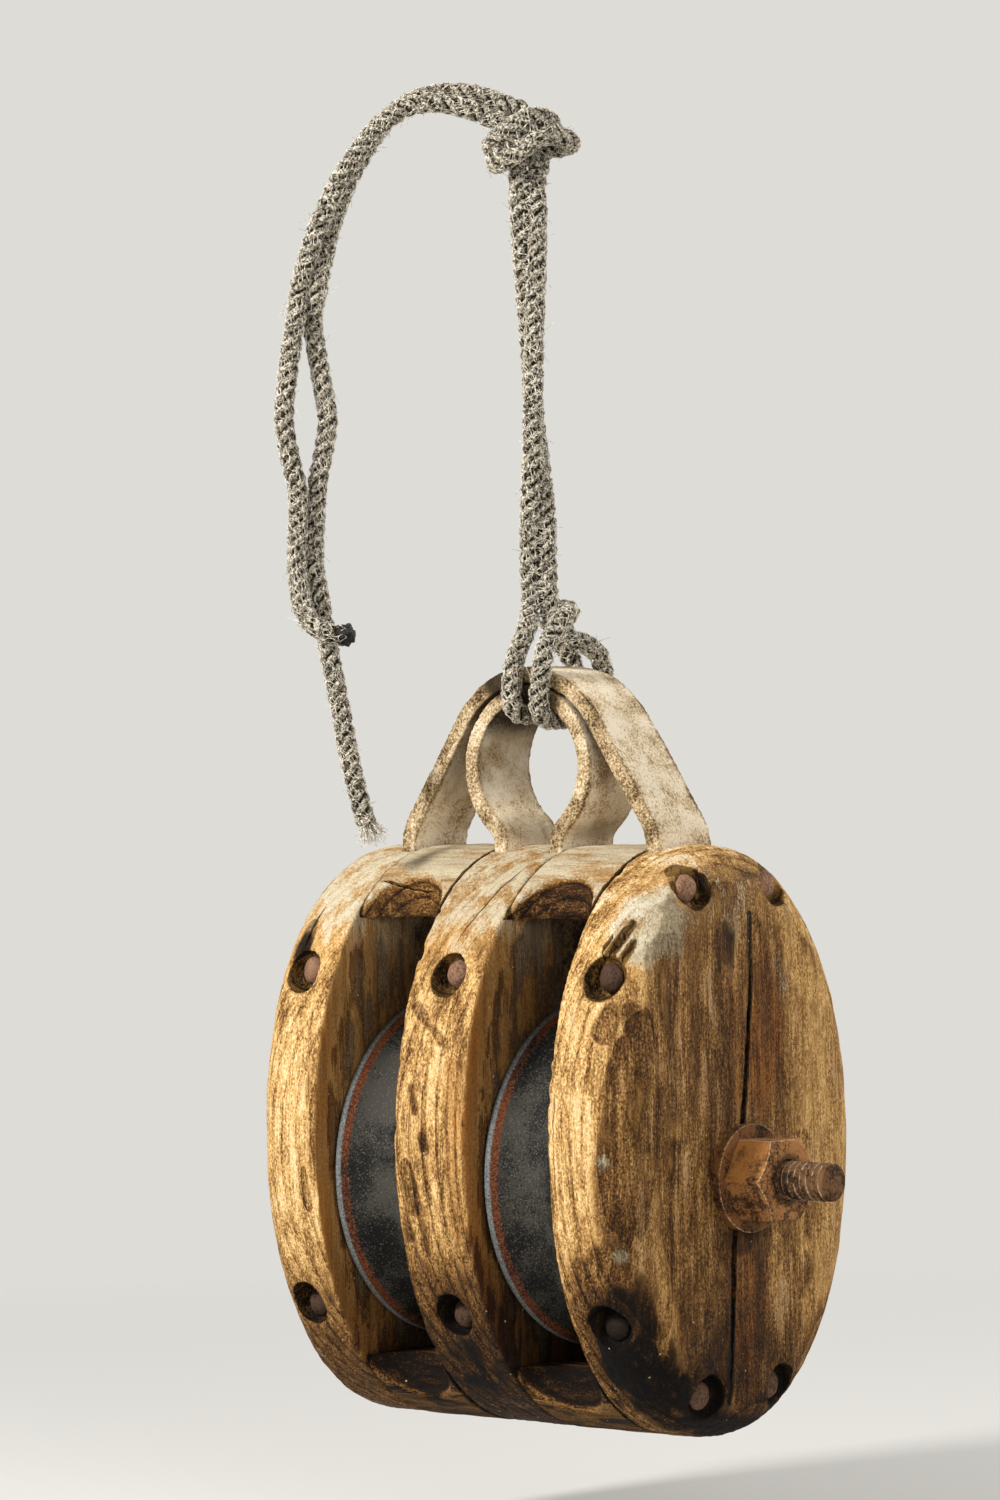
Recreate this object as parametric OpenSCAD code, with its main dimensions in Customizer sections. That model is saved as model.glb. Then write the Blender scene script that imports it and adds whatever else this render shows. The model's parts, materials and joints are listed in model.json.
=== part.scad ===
// Ship's double pulley block: a wooden shell of two cheeks, a partition and four chocks, riveted together,
// with two iron sheaves on one pin, two inside iron straps and a rope lanyard hitched round their crowns.
// Millimetres. X runs along the pin to the nut, Y from the front to the back, and Z upwards.
// The pieces are drawn about the pin's centre, and then moved so that the origin is the lanyard's knot.

/* [Shell] */
// Height of the shell from top to bottom
shell_h = 254; // [244:1:270]
// Depth of the shell from front to back
shell_d = 172; // [168:1:184]
// Height of the shell's middle above the pin
shell_rise = 15; // [10:1:18]
// Squareness of the oval outline, where 2 is an ellipse
oval_power = 2.1; // [2:0.05:2.4]
// Thickness of each outer cheek
cheek_t = 37.5; // [35:0.5:44]
// Thickness of the partition between the two slots
partition_t = 40; // [38:0.5:50]
// Width of each sheave's slot
slot_w = 46.5; // [46:0.5:56]
// Worn radius round the near cheek's outer face
near_cheek_round = 22; // [12:1:26]
// Worn radius round the far cheek's outer face
far_cheek_round = 15; // [12:1:26]
// Worn radius on the edges beside a slot
slot_round = 1.5; // [1:0.5:6]

/* [Chocks] */
// Height of the slot's top end above the pin
slot_top = 111; // [104:1:116]
// Depth of the slot's bottom end below the pin
slot_bottom = 81; // [80:0.5:86]
// Wood left between the rope scores in the chocks and the rivets behind them
score_wall = 6.5; // [5:0.5:12]

/* [Sheaves] */
// Outside diameter of each sheave
sheave_dia = 152.4; // [140:0.4:154]
// Gap between the sheave's rim and each side of its slot
rim_gap = 2.5; // [1.5:0.25:4]
// Depth of the rope groove
groove_depth = 10; // [6:0.5:14]
// Width of the flat rim on each side of the groove
rim_w = 3.5; // [2:0.25:6]
// Width of the raised ring round the sheave's side
side_ring = 5; // [3:0.5:8]
// Depth of the sheave's side below its raised ring
side_dish = 1.5; // [0.5:0.25:4]
// Diameter of the sheave's hub
hub_dia = 46; // [40:1:56]
// Gap between the hub and each side of its slot
hub_gap = 1; // [0.6:0.1:1.4]
// Outside diameter of the bronze bush
bush_dia = 27; // [24:0.5:32]

/* [Pin] */
// Diameter of the pin
pin_dia = 17; // [14:0.5:19]
// How much the bare thread past the nut is worn down, on its diameter
thread_wear = 0.4; // [0.2:0.1:1]
// Length of thread that stands out past the nut
thread_out = 24; // [14:1:34]
// Width of the nut and the pin's head across their flats
nut_flats = 34; // [28:0.5:38]
// Height of the nut
nut_h = 19; // [14:0.5:22]
// Height of the pin's hexagonal head
head_h = 13; // [10:0.5:18]
// Diameter of the two plate washers
washer_dia = 46.4; // [44:0.4:56]
// Thickness of the two plate washers
washer_t = 4.5; // [3:0.5:6]

/* [Straps] */
// Thickness of both iron straps
strap_t = 7.5; // [6:0.5:8]
// Width of both iron straps from front to back
strap_w = 36; // [30:1:40]
// Height of the outer strap's crown above the pin
crown_z = 220; // [216:1:230]
// Outside radius of the outer strap's crown
crown_r = 49; // [44:1:52]
// Lean of the outer strap's sides from the vertical, in degrees
strap_lean = 34; // [31:1:37]
// Radius of the middle of the bend at each shoulder of the outer strap
shoulder_r = 24; // [16:1:30]
// Inside radius of the eye strap's loop
eye_r = 28.5; // [26:0.5:30]
// Lower reach of the eye's round part, in degrees below its middle
eye_sweep = 50; // [44:1:56]
// Radius of the middle of the bend where the eye meets its legs
neck_r = 10; // [8:1:12]

/* [Rivets] */
// Diameter of every rivet's shank
rivet_dia = 8; // [6:0.5:9]
// Diameter of every rivet's head
rivet_head_dia = 13.5; // [11:0.5:14]
// Height of every rivet's head
rivet_head_h = 4.5; // [3:0.5:5]
// Diameter of the hole that sinks a rivet's head
sink_dia = 18.5; // [16:0.5:20]
// Depth of the hole that sinks a rivet's head
sink_depth = 9; // [6.5:0.5:10]
// Thickness of the rove under one head of each rivet
rove_t = 1.5; // [1:0.25:2]
// Distance between the two upper rivets that run along the pin's direction
top_rivets_apart = 54; // [50:1:64]
// How far up the top chocks the upper rivets go, as a share of the chocks' height
top_rivet_share = 0.42; // [0.36:0.01:0.44]
// Distance between the two lower rivets that run along the pin's direction
bottom_rivets_apart = 48; // [40:1:60]
// How far down the bottom chocks the lower rivets go, as a share of the chocks' height
bottom_rivet_share = 0.32; // [0.3:0.01:0.42]
// Height of the upper cross rivets above the pin
cross_top_z = 87.5; // [80:0.5:94]
// Depth of the lower cross rivets below the pin
cross_bottom_z = 58; // [50:0.5:64]

/* [Lanyard] */
// Diameter of the lanyard's rope
rope_dia = 8; // [7:0.25:8.25]
// Height of the knot, where the block hangs, above the pin
knot_z = 452; // [452:1:453]
// Sides of the drawn rope
rope_sides = 10; // [8:1:12]

/* [Hidden] */

$fn = 96;
far = 400;             // longer than any piece, for cuts that run right through
fit_gap = 0.1;         // between fixed pieces that fit into each other, on each side
running_gap = 0.06;    // radial clearance of a bush on the pin
strap_sink = 0.3;      // how far a strap's leg lies below the wood's face
outline_steps = 72;    // points in the oval outline
round_steps = 5;       // slices in a worn edge
nut_chamfer = 30;      // slope of the nut's chamfer in degrees

pin_r = pin_dia / 2;
thread_r = pin_r - thread_wear / 2;
bore_gap = 0.3;        // radial clearance of the pin in wood and washers
slot_inner = partition_t / 2;
slot_outer = slot_inner + slot_w;
slot_mid = (slot_inner + slot_outer) / 2;
shell_out = slot_outer + cheek_t;
cheek_mid = (slot_outer + shell_out) / 2;
sheave_w = slot_w - 2 * rim_gap;
hub_w = slot_w - 2 * hub_gap;
nut_face = shell_out + washer_t;
pin_end = nut_face + nut_h + thread_out;
end_chamfer = 1.5;
wood_colour = "#b98a4e";
chock_colour = "#a87a45";
iron_colour = "#b9a583";
rust_colour = "#8a5a3a";
sheave_colour = "#3b3d40";
rope_colour = "#b9b4a8";

// Half the outline's depth at height z above the pin
function outline_y(z) = shell_d / 2
    * pow(1 - pow(abs(z - shell_rise) / (shell_h / 2), oval_power), 1 / oval_power);

// The oval outline as [y, z] points, drawn in by inset all round
function outline(inset) = [for (i = [0 : outline_steps - 1])
    let (a = 360 * i / outline_steps, c = cos(a), s = sin(a))
    [(shell_d / 2 - inset) * sign(c) * pow(abs(c), 2 / oval_power),
     shell_rise + (shell_h / 2 - inset) * sign(s) * pow(abs(s), 2 / oval_power)]];

function unit(v) = v / norm(v);

// Catmull-Rom curve through a list of points, with the given number of steps to each stretch
function smooth(p, steps) = let (n = len(p)) concat([for (i = [0 : n - 2], k = [0 : steps - 1])
    let (t = k / steps, a = p[max(i - 1, 0)], b = p[i], c = p[i + 1], d = p[min(i + 2, n - 1)])
    0.5 * (2 * b + (c - a) * t + (2 * a - 5 * b + 4 * c - d) * t * t
        + (3 * b - a - 3 * c + d) * t * t * t)], [p[n - 1]]);

// Points of an arc about [x, z] from angle a to angle b
function arc(x, z, r, a, b, steps) = [for (i = [0 : steps]) let (t = a + (b - a) * i / steps)
    [x + r * cos(t), z + r * sin(t)]];

// Outline of a band of thickness t along a line of [x, z] points
function band(p, t) = let (n = len(p), side = [for (i = [0 : n - 1])
        let (d = unit(p[min(i + 1, n - 1)] - p[max(i - 1, 0)])) [-d[1], d[0]] * t / 2])
    concat([for (i = [0 : n - 1]) p[i] + side[i]], [for (i = [n - 1 : -1 : 0]) p[i] - side[i]]);

function mirrored(p) = concat(p, [for (i = [len(p) - 2 : -1 : 0]) [-p[i][0], p[i][1]]]);

// Closed solid through rings that have the same number of points
module skin(rings) {
    n = len(rings[0]);
    m = len(rings);
    polyhedron([for (r = rings) each r], concat(
        [[for (i = [n - 1 : -1 : 0]) i]],
        [for (k = [0 : m - 2], i = [0 : n - 1]) let (a = k * n + i, b = k * n + (i + 1) % n)
            each [[a, b, b + n], [a, b + n, a + n]]],
        [[for (i = [0 : n - 1]) (m - 1) * n + i]]), convexity = 8);
}

// Moves the pieces so that the lanyard's knot is the origin
module hung() translate([-fall_x, -fall_y, -knot_z]) children();

// Turns a flat [y, z] shape to face along X, starting at x
module along_x(x) translate([x, 0, 0]) rotate([90, 0, 90]) children();

// Turns a flat [x, z] shape to stand across Y, evenly about the middle, with depth w
module across_y(w) translate([0, w / 2, 0]) rotate([90, 0, 0]) linear_extrude(w) children();

// Round bar along X from x0 to x1
module bar_x(r, x0, x1, y = 0, z = 0) translate([x0, y, z]) rotate([0, 90, 0])
    cylinder(r = r, h = x1 - x0);

// Wood

// A worn edge in slices of [distance along the thickness, inset of the outline]
function worn(r) = [for (i = [0 : round_steps]) let (a = 90 * i / round_steps)
    [r * (1 - sin(a)), r * (1 - cos(a))]];

// A plank from x0 to x1, with its own worn radius at each face
module plank(x0, x1, r0, r1) {
    low = worn(r0);
    high = worn(r1);
    n = len(low) - 1;
    slices = concat([for (i = [n : -1 : 0]) [x0 + low[i][0], low[i][1]]],
        [for (i = [0 : n]) [x1 - high[i][0], high[i][1]]]);
    skin([for (s = slices) [for (p = outline(s[1])) [s[0], p[0], p[1]]]]);
}

// Holes for the rivets that run along X, through anything they cross
module through_holes() for (q = through_places) bar_x(rivet_dia / 2 + fit_gap, -far, far, q[0], q[1]);

// Holes for the two cross rivets of the plank at x, with their sunk ends
module cross_holes(x) for (z = cross_heights) {
    translate([x, far, z]) rotate([90, 0, 0]) cylinder(r = rivet_dia / 2 + fit_gap, h = 2 * far);
    floor_y = outline_y(z) - sink_depth;
    for (side = [-1, 1]) translate([x, side * floor_y, z]) rotate([-90 * side, 0, 0])
        cylinder(r = sink_dia / 2, h = far);
}

// Leg of a strap as a cut or a bar: from x0 to x1, round at its lower end
module leg(x0, x1, w) {
    bar_x(w / 2, x0, x1);
    translate([x0, -w / 2, 0]) cube([x1 - x0, w, far]);
}

module near_cheek() hung() color(wood_colour) cheek(near_cheek_round);
module far_cheek() hung() color(wood_colour) mirror([1, 0, 0]) cheek(far_cheek_round);
module cheek(face_round) difference() {
    plank(slot_outer, shell_out, slot_round, face_round);
    bar_x(pin_r + bore_gap, 0, far);
    through_holes();
    for (q = through_places) bar_x(sink_dia / 2, shell_out - sink_depth, far, q[0], q[1]);
    cross_holes(cheek_mid);
    leg(slot_outer - 1, slot_outer + strap_sink + strap_t + fit_gap, strap_w + 2 * fit_gap);
}

module centre_partition() hung() color(wood_colour) difference() {
    plank(-slot_inner, slot_inner, slot_round, slot_round);
    bar_x(pin_r + bore_gap, -far, far);
    through_holes();
    cross_holes(0);
    for (side = [0, 1]) mirror([side, 0, 0])
        leg(slot_inner - strap_sink - strap_t - fit_gap, slot_inner + 1, strap_w + 2 * fit_gap);
}

// Chock that closes one end of a slot: z0 and z1 bound it, and corner_z is the edge that faces the sheave.
// Each score is part of an upright cylinder, as wide as the slot at that edge.
module chock(side, z0, z1, corner_z) color(chock_colour) difference() {
    intersection() {
        along_x(side > 0 ? slot_inner : -slot_outer) linear_extrude(slot_w) polygon(outline(0));
        translate([-far, -far, z0]) cube([2 * far, 2 * far, z1 - z0]);
    }
    through_holes();
    score_depth = outline_y(corner_z) - score_floor_y;
    score_r = (pow(slot_w / 2, 2) + pow(score_depth, 2)) / (2 * score_depth);
    for (face = [-1, 1]) translate([side * slot_mid, face * (score_floor_y + score_r), z0 - 1])
        cylinder(r = score_r, h = z1 - z0 + 2);
}
module near_top_chock() hung() chock(1, slot_top, far, slot_top);
module far_top_chock() hung() chock(-1, slot_top, far, slot_top);
module near_bottom_chock() hung() chock(1, -far, -slot_bottom, -slot_bottom);
module far_bottom_chock() hung() chock(-1, -far, -slot_bottom, -slot_bottom);

// Straps

module outer_strap() hung() color(iron_colour) difference() {
    union() {
        across_y(strap_w) polygon(band(outer_line, strap_t));
        for (side = [0, 1]) mirror([side, 0, 0])
            bar_x(strap_w / 2, outer_leg_x - strap_t / 2, outer_leg_x + strap_t / 2);
    }
    bar_x(pin_r + fit_gap, -far, far);
}

module eye_strap() hung() color(iron_colour) difference() {
    union() {
        across_y(strap_w) polygon(band(eye_line, strap_t));
        for (side = [0, 1]) mirror([side, 0, 0])
            bar_x(strap_w / 2, eye_leg_x - strap_t / 2, eye_leg_x + strap_t / 2);
    }
    bar_x(pin_r + fit_gap, -far, far);
}

// Pin, nut and washers

// Hexagon across its flats, flat at the top and bottom, with chamfered corners at its outer end
module hexagon(flats, h) intersection() {
    rotate([0, 0, 90]) cylinder(r = flats / sqrt(3), h = h, $fn = 6);
    rotate_extrude() polygon([[0, 0], [flats, 0], [flats, h - (flats / 2) * tan(nut_chamfer)],
        [flats / 2, h], [0, h]]);
}

module pin_bolt() hung() color(rust_colour) {
    bar_x(pin_r, -nut_face, nut_face + nut_h);
    bar_x(thread_r, nut_face + nut_h, pin_end - end_chamfer);
    translate([pin_end - end_chamfer, 0, 0]) rotate([0, 90, 0])
        cylinder(r1 = thread_r, r2 = thread_r - end_chamfer, h = end_chamfer);
    translate([-nut_face, 0, 0]) rotate([0, -90, 0]) hexagon(nut_flats, head_h);
}

module pin_nut() hung() color(rust_colour) difference() {
    translate([nut_face, 0, 0]) rotate([0, 90, 0]) hexagon(nut_flats, nut_h);
    bar_x(pin_r + fit_gap, 0, far);
}

module plate_washer(x) color(rust_colour) difference() {
    bar_x(washer_dia / 2, x, x + washer_t);
    bar_x(pin_r + bore_gap, -far, far);
}
module nut_washer() hung() plate_washer(shell_out);
module head_washer() hung() plate_washer(-nut_face);

// Sheaves and bushes

// Half of the sheave's section as [radius, distance from its middle]
function half_section() = let (groove_half = sheave_w / 2 - rim_w, steps = 8) concat(
    [for (i = [0 : steps]) let (x = groove_half * i / steps) [groove_floor(x), x]],
    [[sheave_dia / 2, groove_half + rim_round], [sheave_dia / 2, sheave_w / 2 - rim_round],
     [sheave_dia / 2 - rim_round, sheave_w / 2], [sheave_dia / 2 - side_ring, sheave_w / 2],
     [sheave_dia / 2 - side_ring - side_dish, sheave_w / 2 - side_dish],
     [hub_dia / 2 + side_dish, sheave_w / 2 - side_dish],
     [hub_dia / 2, hub_w / 2], [bush_dia / 2 + fit_gap / 2, hub_w / 2]]);
function groove_floor(x) = sheave_dia / 2 - groove_depth + groove_r - sqrt(groove_r * groove_r - x * x);

module sheave(x) color(sheave_colour) translate([x, 0, 0]) rotate([0, 90, 0]) rotate_extrude($fn = 180)
    polygon(concat(half_section(), [for (i = [len(half_section()) - 1 : -1 : 1])
        [half_section()[i][0], -half_section()[i][1]]]));

module bush(x) color("#a8793a") difference() {
    bar_x(bush_dia / 2, x - hub_w / 2, x + hub_w / 2);
    bar_x(pin_r + running_gap, -far, far);
}
module near_sheave() hung() sheave(slot_mid);
module far_sheave() hung() sheave(-slot_mid);
module near_bush() hung() bush(slot_mid);
module far_bush() hung() bush(-slot_mid);

// Rivets and roves

// Domed head on the plane z = 0
module dome() intersection() {
    translate([0, 0, rivet_head_h - dome_r]) sphere(r = dome_r);
    cylinder(r = dome_r, h = dome_r);
}

// Rivet along Z between two heads: the upper head stands on a rove
module rivet(length) {
    translate([0, 0, -length / 2]) cylinder(r = rivet_dia / 2, h = length);
    translate([0, 0, length / 2]) dome();
    translate([0, 0, -length / 2]) mirror([0, 0, 1]) dome();
}

module rove(place) translate([0, 0, place]) difference() {
    cylinder(r = rivet_head_dia / 2 + 1, h = rove_t);
    translate([0, 0, -1]) cylinder(r = rivet_dia / 2 + fit_gap, h = rove_t + 2);
}

module along_rivets(list) color(rust_colour) for (q = list) translate([0, q[0], q[1]]) rotate([0, 90, 0])
    translate([0, 0, -rove_t / 2]) rivet(through_length);
module top_rivets() hung() along_rivets([through_places[0], through_places[1]]);
module bottom_rivets() hung() along_rivets([through_places[2], through_places[3]]);

module cross_rivets(x) color(rust_colour) for (z = cross_heights) translate([x, 0, z]) rotate([-90, 0, 0])
    translate([0, 0, rove_t / 2]) rivet(cross_length(z));
module near_cheek_rivets() hung() cross_rivets(cheek_mid);
module partition_rivets() hung() cross_rivets(0);
module far_cheek_rivets() hung() cross_rivets(-cheek_mid);

module through_rivet_roves() hung() color(rust_colour) for (q = through_places)
    translate([0, q[0], q[1]]) rotate([0, -90, 0]) rove(shell_out - sink_depth);
module cross_rivet_roves() hung() color(rust_colour) for (x = [-cheek_mid, 0, cheek_mid], z = cross_heights)
    translate([x, 0, z]) rotate([-90, 0, 0]) rove(outline_y(z) - sink_depth);

// Lanyard

// A tube round a line of points: each ring is turned as little as possible from the one before
module rope(line) {
    n = len(line);
    ways = [for (i = [0 : n - 1]) unit(line[min(i + 1, n - 1)] - line[max(i - 1, 0)])];
    first = unit(cross(ways[0], [1, 0.3, 0.2]));
    sides = [for (i = 0, s = first; i < n;
        i = i + 1, s = i < n ? unit(s - (s * ways[i]) * ways[i]) : s) s];
    skin([for (i = [0 : n - 1]) let (s = sides[i], u = cross(ways[i], s))
        [for (k = [0 : rope_sides - 1]) let (a = 360 * k / rope_sides)
            line[i] + rope_dia / 2 * (cos(a) * s + sin(a) * u)]]);
}

// A point of the lanyard's hanging plane: s to the right in the plane, q behind it, and z up
function hang(p) = [fall_x + p[0] * plane_right[0] - p[1] * plane_right[1],
    fall_y + p[0] * plane_right[1] + p[1] * plane_right[0], p[2]];

// One of the two strands that are laid together along a pair's middle line: side is 1 or -1
function laid(pair, side) = let (flat = [for (p = pair) [p[0], p[1]]], last = len(pair) - 1)
    [for (i = [0 : last])
        let (d = unit(flat[min(i + 1, last)] - flat[max(i - 1, 0)]), a = pair[i][2])
        hang([pair[i][0] + side * pair_half * cos(a) * d[1], side * pair_half * sin(a),
            pair[i][1] - side * pair_half * cos(a) * d[0]])];

// Least gap between parts of one tube that are further apart along it than reach
function least_gap(p, reach) = min([for (i = [0 : len(p) - 1], j = [i + 1 : 1 : len(p) - 1])
    if (j - i > reach) norm(p[i] - p[j])]) - rope_dia;

module lanyard_hitch() hung() color(rope_colour) rope(smooth(hitch, 2));
module lanyard_left_fall() hung() color(rope_colour) rope(laid(falls, 1));
module lanyard_right_fall() hung() color(rope_colour) rope(laid(falls, -1));
module lanyard_burnt_tail() hung() color(rope_colour)
    rope(concat(laid(arch, 1), [for (p = burnt_tail) hang(p)]));
module lanyard_long_tail() hung() color(rope_colour)
    rope(concat(laid(arch, -1), [for (p = long_tail) hang(p)]));

// Round rod from one point to another
module rod(p, q, r) let (d = q - p) translate(p)
    rotate([0, acos(d[2] / norm(d)), atan2(d[1], d[0])]) cylinder(r = r, h = norm(d));

// The knot as one closed lump: leaning turns round a core, an ear, and the stubs that meet the strands
module lanyard_knot() hung() color(rope_colour) {
    for (side = [1, -1]) let (p = laid(arch, side), q = laid(falls, side)) {
        translate(q[len(q) - 1]) cylinder(r = rope_dia / 2, h = knot_stub);
        rod(p[0], p[0] + knot_stub * unit(p[0] - p[1]), rope_dia / 2);
    }
    translate(hang(knot_core)) sphere(r = knot_core_r);
    for (t = knot_turns) translate(hang([t[0], t[1], t[2]]))
        rotate([0, 0, plane_turn]) rotate([0, t[3], 0])
        rotate_extrude($fn = 32) translate([t[4], 0]) circle(r = rope_dia / 2);
}

// Places that follow from the sizes above

top_rivet_z = slot_top + top_rivet_share * (shell_rise + shell_h / 2 - slot_top);
bottom_rivet_z = slot_bottom + bottom_rivet_share * (shell_h / 2 - shell_rise - slot_bottom);
through_places = [[-top_rivets_apart / 2, top_rivet_z], [top_rivets_apart / 2, top_rivet_z],
    [-bottom_rivets_apart / 2, -bottom_rivet_z], [bottom_rivets_apart / 2, -bottom_rivet_z]];
cross_heights = [cross_top_z, -cross_bottom_z];
through_length = 2 * (shell_out - sink_depth) + rove_t;
function cross_length(z) = 2 * (outline_y(z) - sink_depth) + rove_t;
dome_r = (pow(rivet_head_dia / 2, 2) + pow(rivet_head_h, 2)) / (2 * rivet_head_h);
score_floor_y = max(top_rivets_apart, bottom_rivets_apart) / 2 + rivet_dia / 2 + fit_gap + score_wall;

rim_round = 1;
groove_r = (pow(sheave_w / 2 - rim_w, 2) + pow(groove_depth, 2)) / (2 * groove_depth) + 1;

outer_leg_x = slot_outer + strap_sink + strap_t / 2;
crown_mid_r = crown_r - strap_t / 2;
crown_mid_z = crown_z - crown_r;
side_run = (outer_leg_x - shoulder_r * (1 - cos(strap_lean)) - crown_mid_r * cos(strap_lean))
    / sin(strap_lean);
shoulder_z = crown_mid_z + crown_mid_r * sin(strap_lean) - side_run * cos(strap_lean)
    - shoulder_r * sin(strap_lean);
outer_line = mirrored(concat([[outer_leg_x, 0]],
    arc(outer_leg_x - shoulder_r, shoulder_z, shoulder_r, 0, strap_lean, 6),
    arc(0, crown_mid_z, crown_mid_r, strap_lean, 90, 14)));

eye_leg_x = slot_inner - strap_sink - strap_t / 2;
eye_mid_r = eye_r + strap_t / 2;
eye_z = crown_z - strap_t - 2 * fit_gap - eye_r - strap_t;
neck_run = (eye_mid_r * cos(eye_sweep) - eye_leg_x - neck_r * (1 - cos(eye_sweep))) / sin(eye_sweep);
neck_z = eye_z - eye_mid_r * sin(eye_sweep) - neck_run * cos(eye_sweep) - neck_r * sin(eye_sweep);
eye_line = mirrored(concat([[eye_leg_x, 0]],
    arc(eye_leg_x + neck_r, neck_z, neck_r, 180, 180 - eye_sweep, 6),
    arc(0, eye_z, eye_mid_r, -eye_sweep, 90, 20)));

// Route of the rope round the straps' crowns, from the left fall to the right fall
hitch = [[-6.2, -6.8, 262], [-6.2, -6.8, 253], [-4.5, -10.5, 244], [-2, -17, 236], [-1.8, -21.5, 228],
    [-2.5, -22.8, 219], [-3.5, -22.8, 210], [-3.6, -21.8, 202.5], [-3.4, -17, 199.4], [-3.2, -8, 199.2],
    [-3, 0, 199.2], [-3.2, 9, 199.2], [-3.8, 17.5, 199.5], [-4.4, 22, 202.8], [-4.8, 22.8, 210],
    [-5.5, 22.8, 219], [-8, 21, 226], [-10.5, 15.5, 234], [-8.5, 9.5, 241], [-2, 7.8, 244.5],
    [3.5, 7, 245], [9, 2.5, 243.5], [13.5, -6, 239], [16, -14.5, 232.5], [16, -20.8, 226],
    [14.2, -22.8, 218.5], [12.5, -22.8, 210], [11.8, -22.2, 201], [11.5, -17.5, 196.8], [11, -8, 196.9],
    [10.5, 0, 197.2], [10.3, 9, 197.2], [10.4, 17.5, 197.4], [10.6, 22.3, 201.5], [10.8, 22.8, 210],
    [11, 22.2, 219], [11.3, 18, 226], [10.5, 10.5, 229.8], [7, 3.5, 232.5], [2.5, -0.5, 238],
    [0.4, -1.2, 246], [0.2, -1.2, 254], [0.2, -1.2, 262]];
fall_x = -3;
fall_y = -4;
plane_turn = 41.2;
plane_right = [cos(plane_turn), sin(plane_turn)];
pair_half = 4.25;

// Middle of the two falls, which go half a turn round each other, as [s, z, turn of the pair in degrees]
falls = [[0, 262, 180], [0, 271, 180], [0.1, 285, 203], [0, 299, 226], [-0.4, 313, 246], [-0.9, 327, 261],
    [-1.1, 341, 270], [-1.2, 355, 279], [-1.3, 369, 289], [-1.4, 383, 302], [-1.6, 397, 318],
    [-1.8, 411, 336], [-2, 425, 352], [-2, 438, 352]];
// Middle of the laid pair over the arch
arch = [[-14, 464, 235], [-26, 471, 220], [-40, 472.5, 200], [-53, 468.5, 180], [-64, 460.5, 160],
    [-73, 449.5, 140], [-82, 436, 115], [-89, 421, 85], [-94.5, 405, 45], [-99, 387, 5]];
// The strand with the burnt end, below the pair, as [s, q, z]
burnt_tail = [[-105, -3, 373], [-109, -3, 348], [-110.5, -3, 330], [-108, -2, 312], [-105.5, -2, 302],
    [-105, -2, 290], [-106, -2, 268], [-105, -3, 254], [-103, -6, 245.5], [-98, -10, 239],
    [-92, -10.5, 236], [-85, -10, 235]];
// The strand with the frayed end
long_tail = [[-97.5, 3, 373], [-94, 3, 348], [-91.5, 3, 330], [-94.5, 3, 312], [-96.5, 3.5, 302],
    [-97.5, 3.5, 290], [-98.5, 3.5, 268], [-96, 2, 250], [-93, 1, 231], [-90.5, 0, 217], [-88, 0, 203],
    [-86, 0, 191], [-84, 0, 180], [-81.5, 0, 168], [-78.5, 0, 156], [-77, 0, 152]];
// Core of the knot as [s, q, z], and its radius
knot_core = [-4, 0, 452];
knot_core_r = 10;
knot_stub = 10;
// Leaning turns of the knot as [s, q, z, lean in degrees, radius]
knot_turns = [[-5, 0, 457, -32, 9], [-4, 0, 452, -30, 11], [-3, 0, 447, -26, 9], [8, 1, 449, 70, 5]];

echo(least_gap_of_hitch = least_gap(smooth(hitch, 2), 7));

near_cheek();
far_cheek();
centre_partition();
near_top_chock();
far_top_chock();
near_bottom_chock();
far_bottom_chock();
outer_strap();
eye_strap();
pin_bolt();
pin_nut();
nut_washer();
head_washer();
near_sheave();
far_sheave();
near_bush();
far_bush();
top_rivets();
bottom_rivets();
near_cheek_rivets();
partition_rivets();
far_cheek_rivets();
through_rivet_roves();
cross_rivet_roves();
lanyard_hitch();
lanyard_left_fall();
lanyard_right_fall();
lanyard_knot();
lanyard_burnt_tail();
lanyard_long_tail();
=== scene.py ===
# %% [markdown]
# A ship's double pulley block, hung on a rope lanyard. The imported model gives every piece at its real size
# and place, and this lesson dresses it: worn wood, dusty iron straps, a rusted nut, dark sheaves and a
# hairy rope. The frame is loaded first and never moved, so that whatever is made here sits where the real
# piece sits.

# %% Load the frame
import json
import math
import random

import bmesh
import bpy
import numpy as np
from mathutils import Matrix, Vector, noise
from mathutils.bvhtree import BVHTree
from mathutils.kdtree import KDTree


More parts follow.
